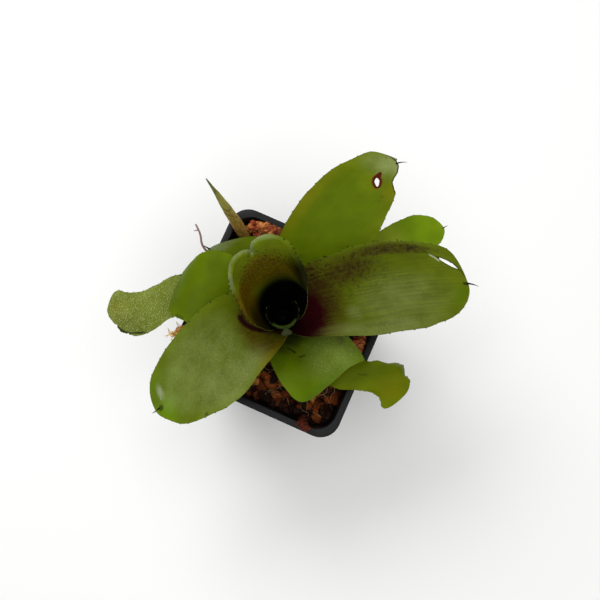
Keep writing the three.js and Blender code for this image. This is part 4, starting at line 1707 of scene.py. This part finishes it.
@dataclass
class Filling:
    """Husk chips and fibres on a dark bed, with a root and scraps of husk that lie over the rim.

    The filling stands level, apart from a well round the stem and the heaps, which are X, Y, radius and rise. pitch
    is the step of the strewn chips, clear the bed's gap to the pot's wall and corner the radius of its inner corners.
    bore keeps the chips off the stem, and shaft keeps them off the offset, which stands at offset_foot.
    """

    pot: Pot
    level: float = 84.0
    seed: int = 20
    well: float = 15.0
    well_drop: float = 4.5
    heaps: tuple[tuple[float, float, float, float], ...] = ((-24, 45, 19, 13.5), (-32, 38, 9, 9), (41, 2, 13, 7))
    heaped_over: float = 1.5
    clear: float = 0.3
    corner: float = 9.0
    bed_columns: int = 72
    bed_drop: float = 1.2
    bed_bumps: float = 0.55
    pitch: float = 4.4
    scatter: float = 1.6
    layer_rise: float = 1.5
    gaps: float = 0.35
    crumbs_per_area: float = 0.45
    chip_size: tuple[float, float] = (3.0, 6.2)
    crumb_size: tuple[float, float] = (2.0, 3.8)
    models: int = 6
    bore: float = 9.6
    offset_foot: tuple[float, float] = (-34.5, 31.0)
    shaft: float = 2.6
    # How much darker the chips along the front wall are painted, as painted shade, and the band over which it fades.
    wall_shade: float = 0.55
    wall_shade_band: tuple[float, float] = (1.0, 9.0)
    loose: int = 240
    scraps: tuple[Scrap, ...] = (
        Scrap(
            "husk_scrap_left", ((-38.8, -19, 92), (-42.5, -23, 97.2), (-46.6, -28.6, 98.2)), 1.8, "a8641e", "e6c68a",
            24, 5.6,
        ),
        Scrap(
            "husk_scrap_front", ((27.5, -38, 93), (28.5, -42.3, 97.4), (33.0, -42.8, 97.2)), 2.0, "3c1206", "6a2a14",
            18, 3.4,
        ),
    )
    root_path: tuple[tuple[float, float, float], ...] = (
        (-38, 11, 83), (-40, 12, 94), (-43, 14, 97), (-48, 15.6, 98.2), (-52, 18, 98.5), (-55, 22.3, 99.2),
        (-58.9, 25.7, 100),
    )
    twig_path: tuple[tuple[float, float, float], ...] = ((-56.6, 23.7, 99.5), (-57.6, 22.8, 99.6), (-58.4, 22.4, 99.9))

    def rise(self, x: float, y: float) -> float:
        """Say how far the chips at a place lie above the level.

        Args:
            x: the place along X.
            y: the place along Y.

        Returns:
            The height over the level.
        """
        heaped = 0.0
        for heap_x, heap_y, radius, height in self.heaps:
            away = np.hypot(x - heap_x, y - heap_y)
            heaped = max(heaped, height * (1 - float(smoothstep(away, 0.0, radius))))
        return heaped - (self.well_drop if math.hypot(x, y) < self.well else 0)

    def build(self) -> None:
        """Model the filling, piece by piece."""
        random = np.random.default_rng(self.seed)
        bed = self.bed(random)
        bed.data.materials.append(HuskFinish("coconut_husk_dust", body="3a1a08", pale="5c3a1c").material())
        hand_over(bed, "husk", "substrate")
        chips = self.chips(random)
        chips.data.materials.append(HuskFinish("coconut_husk_chips").material())
        hand_over(chips, "husk")
        fibres = self.fibres(random)
        fibres.data.materials.append(StrandFinish("dry_husk_fibre", "b89a6c", "6a4420", "b89a6c").material())
        hand_over(fibres, "husk")
        self.root()
        for scrap in self.scraps:
            scrap.build(random)

    def bed(self, random: np.random.Generator) -> Object:
        """Model the bed under the chips.

        Args:
            random: the source of its bumps.

        Returns:
            The bed.
        """
        deselect()
        bpy.ops.mesh.primitive_grid_add(x_subdivisions=self.bed_columns, y_subdivisions=self.bed_columns, size=2)
        bed = bpy.context.object
        bed.name = bed.data.name = "husk_bed"
        half = self.pot.inner_half(self.level) - self.clear
        straight = half - (self.corner - 0.2)
        flat = corners_of(bed)[:, :2] * half
        over = np.maximum(np.abs(flat) - straight, 0)
        far = np.hypot(*over.T)
        pull = np.where(far > 0, over.max(axis=1) / np.maximum(far, TINY), 1)
        flat = np.sign(flat) * (np.minimum(np.abs(flat), straight) + over * pull[:, None])
        top = self.level - self.bed_drop
        bumps = random.normal(0, self.bed_bumps, len(flat))
        rise = np.array([self.rise(x, y) for x, y in flat])
        places = np.column_stack([flat, top + rise + bumps])
        set_corners(bed, places * MM)
        paint(bed, "grain", places)
        paint(bed, "tone", (0.15, 0, 0))
        bpy.ops.object.mode_set(mode="EDIT")
        bpy.ops.mesh.select_mode(type="EDGE")
        bpy.ops.mesh.select_all(action="SELECT")
        bpy.ops.mesh.region_to_loop()
        bpy.ops.mesh.extrude_region_move(TRANSFORM_OT_translate={"value": (0, 0, -top * MM)})
        bpy.ops.object.mode_set(mode="OBJECT")
        places = corners_of(bed)
        lower = places[:, 2] < 0.5 * self.level * MM
        floor = self.pot.wall + self.clear
        taper = (self.pot.inner_half(floor) - self.clear) / half
        places[lower] *= (taper, taper, 1)
        places[lower, 2] = floor * MM
        set_corners(bed, places)
        bpy.ops.object.mode_set(mode="EDIT")
        bpy.ops.mesh.edge_face_add()
        bpy.ops.mesh.select_all(action="SELECT")
        bpy.ops.mesh.normals_make_consistent(inside=False)
        bpy.ops.object.mode_set(mode="OBJECT")
        bpy.ops.object.shade_smooth_by_angle(angle=math.radians(60))
        return bed

    @staticmethod
    def chip_model(random: np.random.Generator, number: int) -> Object:
        """Chop one chunk of husk out of a cube.

        Args:
            random: the source of its faces.
            number: which chunk this is.

        Returns:
            The chunk, 1 mm across, with its own grain.
        """
        deselect()
        bpy.ops.mesh.primitive_cube_add(size=1 * MM)
        chunk = bpy.context.object
        chunk.name = chunk.data.name = f"chunk_{number}"
        bpy.ops.object.mode_set(mode="EDIT")
        bpy.ops.mesh.select_all(action="SELECT")
        bpy.ops.mesh.bevel(offset=random.uniform(0.12, 0.24) * MM, segments=1, affect="EDGES")
        for _ in range(4):
            normal = random.normal(size=3)
            normal /= np.linalg.norm(normal)
            middle = normal * random.uniform(0.3, 0.42) * MM
            bpy.ops.mesh.select_all(action="SELECT")
            bpy.ops.mesh.bisect(plane_co=tuple(middle), plane_no=tuple(normal), clear_outer=True, use_fill=True)
        bpy.ops.object.mode_set(mode="OBJECT")
        places = corners_of(chunk)
        places += random.normal(0, 0.045 * MM, places.shape)
        set_corners(chunk, places * (1.25, 0.85, 0.75))
        paint(chunk, "grain", places / MM * 4 + number * 7)
        bpy.ops.object.shade_smooth_by_angle(angle=math.radians(55))
        return chunk

    def chip_spots(self, random: np.random.Generator) -> list[tuple[float, float, float, float]]:
        """Strew chips in two layers, the upper one with gaps, and crumbs over the heaps.

        Args:
            random: the source of their places and sizes.

        Returns:
            For each one its X, its Y, its size and how far it stands over the chips' level.
        """
        half = self.pot.inner_half(self.level)
        count = int(2 * half / self.pitch)
        spots = []
        for layer, i, j in product(range(2), range(count), range(count)):
            middles = ((k + 0.5 - count / 2) * 2 * half / count for k in (i, j))
            x, y = (middle + random.uniform(-self.scatter, self.scatter) for middle in middles)
            if layer == 0 or random.uniform() > self.gaps or self.rise(x, y) > self.heaped_over:
                size = random.uniform(*self.chip_size) * (0.85 if layer else 1.0)
                spots.append((x, y, size, layer * self.layer_rise + random.uniform(-1.0, 0.8)))
        for heap_x, heap_y, radius, _ in self.heaps:
            for _ in range(int(self.crumbs_per_area * radius**2)):
                away, turn = radius * random.uniform() ** 0.6, random.uniform(0, math.tau)
                x, y = heap_x + away * math.cos(turn), heap_y + away * math.sin(turn)
                spots.append((x, y, random.uniform(*self.crumb_size), random.uniform(-1.0, 1.6)))
        return spots

    def chips(self, random: np.random.Generator) -> Object:
        """Lay the chips at their spots, pressed in from the walls and clear of what grows there.

        Args:
            random: the source of their places and turns.

        Returns:
            All of the chips as one piece.
        """
        models = [self.chip_model(random, number) for number in range(self.models)]
        copies = []
        for x, y, size, lift in self.chip_spots(random):
            inner = self.pot.inner_half(min(self.level + self.rise(x, y), self.pot.height)) - self.clear
            x, y = (float(np.clip(v, 0.5 * size - inner, inner - 0.5 * size)) for v in (x, y))
            corner = math.hypot(max(abs(x) - inner + self.corner, 0), max(abs(y) - inner + self.corner, 0))
            beside = math.hypot(x - self.offset_foot[0], y - self.offset_foot[1]) < self.shaft + size / 2
            # The 0.05 lets a chip that touches a wall stay.
            if corner > self.corner + 0.05 - 0.5 * size or math.hypot(x, y) < self.bore + size / 2 or beside:
                continue
            place = Matrix.Translation(Vector((x, y, self.level + self.rise(x, y) + lift)) * MM)
            place = place @ Matrix.Rotation(random.uniform(0, math.tau), 4, Vector(random.normal(size=3)).normalized())
            heaped = self.rise(x, y) > self.heaped_over
            # The chips along the front wall are painted darker: painted shade from the wall.
            wall_shade = self.wall_shade * (1 - float(smoothstep(y + inner, *self.wall_shade_band)))
            tone = (random.uniform(-0.2, 0.75) + 0.38 * heaped - wall_shade, random.uniform(0.0, 0.6) * heaped, 0)
            copies.append(copy_of(models[random.integers(len(models))], place @ Matrix.Scale(size, 4), tone))
        for model in models:
            bpy.data.objects.remove(model)
        return joined(copies, "husk_chips")

    def fibres(self, random: np.random.Generator) -> Object:
        """Scatter loose fibres over the chips.

        Args:
            random: the source of their places.

        Returns:
            All of the fibres as one piece.
        """
        models = []
        for number in range(5):
            bends = [(t * 10 - 5, random.normal(0, 1.1), random.normal(0, 0.5)) for t in (0, 0.3, 0.6, 1)]
            models.append(swept(f"fibre_{number}", bent_path(bends, 9), np.linspace(0.16, 0.07, 9), 5))
        half = self.pot.inner_half(self.level) - 4
        copies = []
        for _ in range(self.loose):
            x, y = random.uniform(-half, half, 2)
            if math.hypot(x, y) < self.bore + 5:
                continue
            z = self.level + self.rise(x, y) + random.uniform(1.2, 3.2)
            turn = Matrix.Rotation(random.uniform(0, math.tau), 4, "Z")
            turn = turn @ Matrix.Rotation(random.normal(0, 0.25), 4, "Y")
            place = Matrix.Translation(Vector((x, y, z)) * MM) @ turn @ Matrix.Scale(random.uniform(0.5, 1.1), 4)
            copies.append(copy_of(models[random.integers(len(models))], place, (0, 0, 0)))
        for model in models:
            bpy.data.objects.remove(model)
        return joined(copies, "husk_fibres")

    def root(self) -> None:
        """Model the dry root that hangs over the left rim, with its twig."""
        rings = 34
        radii = np.interp(np.linspace(0, 1, rings), (0, 0.5, 0.8, 1), (0.75, 0.6, 0.5, 0.42))
        main = swept("dry_root", bent_path(self.root_path, rings), radii, 8)
        twig = swept("dry_root_twig", bent_path(self.twig_path, 6), np.linspace(0.35, 0.12, 6), 6)
        root = joined([main, twig], "dry_root")
        root.data.materials.append(StrandFinish("dry_root_bark", "8a746c", "6e4030", "8a7c78").material())
        hand_over(root, "husk")


@dataclass
class OffsetShoot:
    """The pointed young offset, wrapped in bracts, that leans out over the pot's corner.

    taper gives the radius at shares of the length, and bracts the share at which each one ends and the way it turns.
    """

    foot: tuple[float, float, float] = (-33.5, 30.5, 74)
    bend: tuple[float, float, float] = (-36.5, 32.5, 100)
    tip: tuple[float, float, float] = (-56.6, 41.3, 135)
    taper: tuple[tuple[float, float], ...] = ((0, 2.6), (0.4, 2.55), (0.63, 2.25), (0.82, 1.5), (0.93, 0.85), (1, 0.2))
    bracts: tuple[tuple[float, float], ...] = ((0.44, 0.6), (0.56, 3.4), (0.7, 1.9), (0.82, 5.2))
    bract_edge: float = 0.16
    rings: int = 96

    def build(self) -> None:
        """Model the offset from a ringed cylinder."""
        share = np.linspace(0, 1, self.rings)
        foot, bend, tip = (np.array(p) for p in (self.foot, self.bend, self.tip))
        fine = np.linspace(0, 1, 400)[:, None]
        curve = (1 - fine) ** 2 * foot + 2 * (1 - fine) * fine * bend + fine**2 * tip
        run = np.concatenate(([0], np.cumsum(np.linalg.norm(np.diff(curve, axis=0), axis=1))))
        path = np.column_stack([np.interp(share * run[-1], run, curve[:, axis]) for axis in range(3)])
        shoot = swept("offset_spear", path, np.interp(share, *zip(*self.taper)), 28)
        self.wrap(shoot, path)
        shoot.data.materials.append(BractFinish().material())
        hand_over(shoot, "offset", "offset_shoot")

    def wrap(self, shoot: Object, path: np.ndarray) -> None:
        """Raise the slanted edges of the bracts.

        Args:
            shoot: the offset's object.
            path: its axis.
        """
        strand = read_paint(shoot, "strand")
        share = strand[:, 2]
        angle = np.arctan2(strand[:, 1], strand[:, 0])
        ring = np.rint(share * (len(path) - 1)).astype(int)
        raised, edges = np.zeros(len(strand)), np.zeros(len(strand))
        for top, turned in self.bracts:
            edge = top + 0.06 * np.cos(angle - turned)
            raised += self.bract_edge * (1 - smoothstep(share, edge - 0.002, edge + 0.008)) - self.bract_edge / 2
            edges = np.maximum(edges, 1 - np.clip(np.abs(share - edge) / 0.02, 0, 1))
        raised *= smoothstep(1 - share, 0, 0.1)
        side, upper = even_frames(path)
        out = strand[:, :1] * side[ring] + strand[:, 1:2] * upper[ring]
        set_corners(shoot, corners_of(shoot) + out * (raised * MM)[:, None])
        paint(shoot, "tone", np.column_stack([edges, edges, edges]))


@dataclass
class Stem:
    """The short stem that every leaf grows from, ringed by their scars.

    profile gives its radius at heights, from the foot to the top.
    """

    profile: tuple[tuple[float, float], ...] = ((6.5, 70), (9, 86), (3.4, 106), (2, 108.2), (0.3, 109))
    shrink: float = 0.12
    scar: float = 0.1

    def build(self) -> None:
        """Model the stem."""
        radii, heights = zip(*self.profile)
        z = np.linspace(heights[0], heights[-1], 70)
        radii = np.interp(z, heights, radii)
        radii = np.maximum(radii - self.shrink - self.scar * (np.sin(z * 2.4) > 0.6), 0.2)
        stem = swept("leaf_stem", np.column_stack([np.zeros_like(z), np.zeros_like(z), z]), radii, 32)
        # The stem's near-black end is painted shade deep in the cup.
        stem.data.materials.append(StrandFinish("pale_stem_tissue", "8d9450", "5c5424", "060503", 0.6).material())
        hand_over(stem, "stem", "stem")


@dataclass
class Studio:
    """The pale floor, the soft lights and the camera over the plant.

    lamps are each light's name, its place and the side of its square in metres, and its power in watts. floor_drop
    keeps the floor clear of the pot's foot.
    """

    azimuth: float = 24.0
    elevation: float = 82.0
    lens: float = 55.19
    eye: tuple[float, float, float] = (0.0285, -0.0446, 0.5421)
    lamps: tuple[tuple[str, tuple[float, float, float], float, float], ...] = (
        ("key", (-0.45, 0.35, 0.75), 0.5, 4.8),
        ("overhead", (0.15, -0.1, 1.1), 0.9, 4.8),
        ("fill", (0.6, -0.6, 0.5), 0.8, 1.6),
    )
    air: float = 0.36
    floor_drop: float = 0.0004

    def build(self) -> None:
        """Set up the floor, the camera, the lights and the light of the air."""
        self.floor()
        self.camera()
        for lamp in self.lamps:
            self.light(*lamp)
        world = bpy.data.worlds.new("studio_air")
        world.use_nodes = True
        background = world.node_tree.nodes["Background"]
        background.inputs["Color"].default_value = linear("ffffff")
        background.inputs["Strength"].default_value = self.air
        bpy.context.scene.world = world
        bpy.context.scene.view_settings.view_transform = "Standard"

    def floor(self) -> None:
        """Lay the floor."""
        deselect()
        bpy.ops.mesh.primitive_plane_add(size=4, location=(0, 0, -self.floor_drop))
        floor = bpy.context.object
        floor.name = "studio_floor"
        floor.data.materials.append(StudioFinish().material())

    def camera(self) -> None:
        """Aim the camera as the photograph was taken."""
        azimuth, elevation = math.radians(self.azimuth), math.radians(self.elevation)
        flat = math.cos(elevation)
        back = Vector((math.sin(azimuth) * flat, -math.cos(azimuth) * flat, math.sin(elevation)))
        right = Vector(UP).cross(back).normalized()
        upper = back.cross(right)
        data = bpy.data.cameras.new("camera_over_plant")
        data.lens = self.lens
        data.sensor_width = 36
        camera = bpy.data.objects.new("camera_over_plant", data)
        bpy.context.collection.objects.link(camera)
        turn = Matrix((right, upper, back)).transposed().to_4x4()
        camera.matrix_world = Matrix.Translation(self.eye) @ turn
        bpy.context.scene.camera = camera

    @staticmethod
    def light(name: str, place: tuple[float, float, float], size: float, power: float) -> None:
        """Hang a soft light that looks at the plant.

        Args:
            name: the light's name.
            place: where it hangs, in metres.
            size: the side of its square, in metres.
            power: its power, in watts.
        """
        data = bpy.data.lights.new(name, "AREA")
        data.size = size
        data.energy = power
        lamp = bpy.data.objects.new(name, data)
        bpy.context.collection.objects.link(lamp)
        aim = Vector((0, 0, 0.1)) - Vector(place)
        lamp.matrix_world = Matrix.Translation(place) @ aim.to_track_quat("-Z", "Y").to_matrix().to_4x4()


def note_size() -> None:
    """Update the view layer.
    """
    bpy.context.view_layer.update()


def main() -> None:
    """Build every piece in order."""
    logging.basicConfig(level=logging.INFO, format="%(message)s")
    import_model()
    Studio().build()
    pot = Pot()
    pot.build()
    Filling(pot).build()
    Stem().build()
    for leaf in LEAVES:
        leaf.build()
    OffsetShoot().build()
    note_size()


if __name__ == "__main__":
    main()
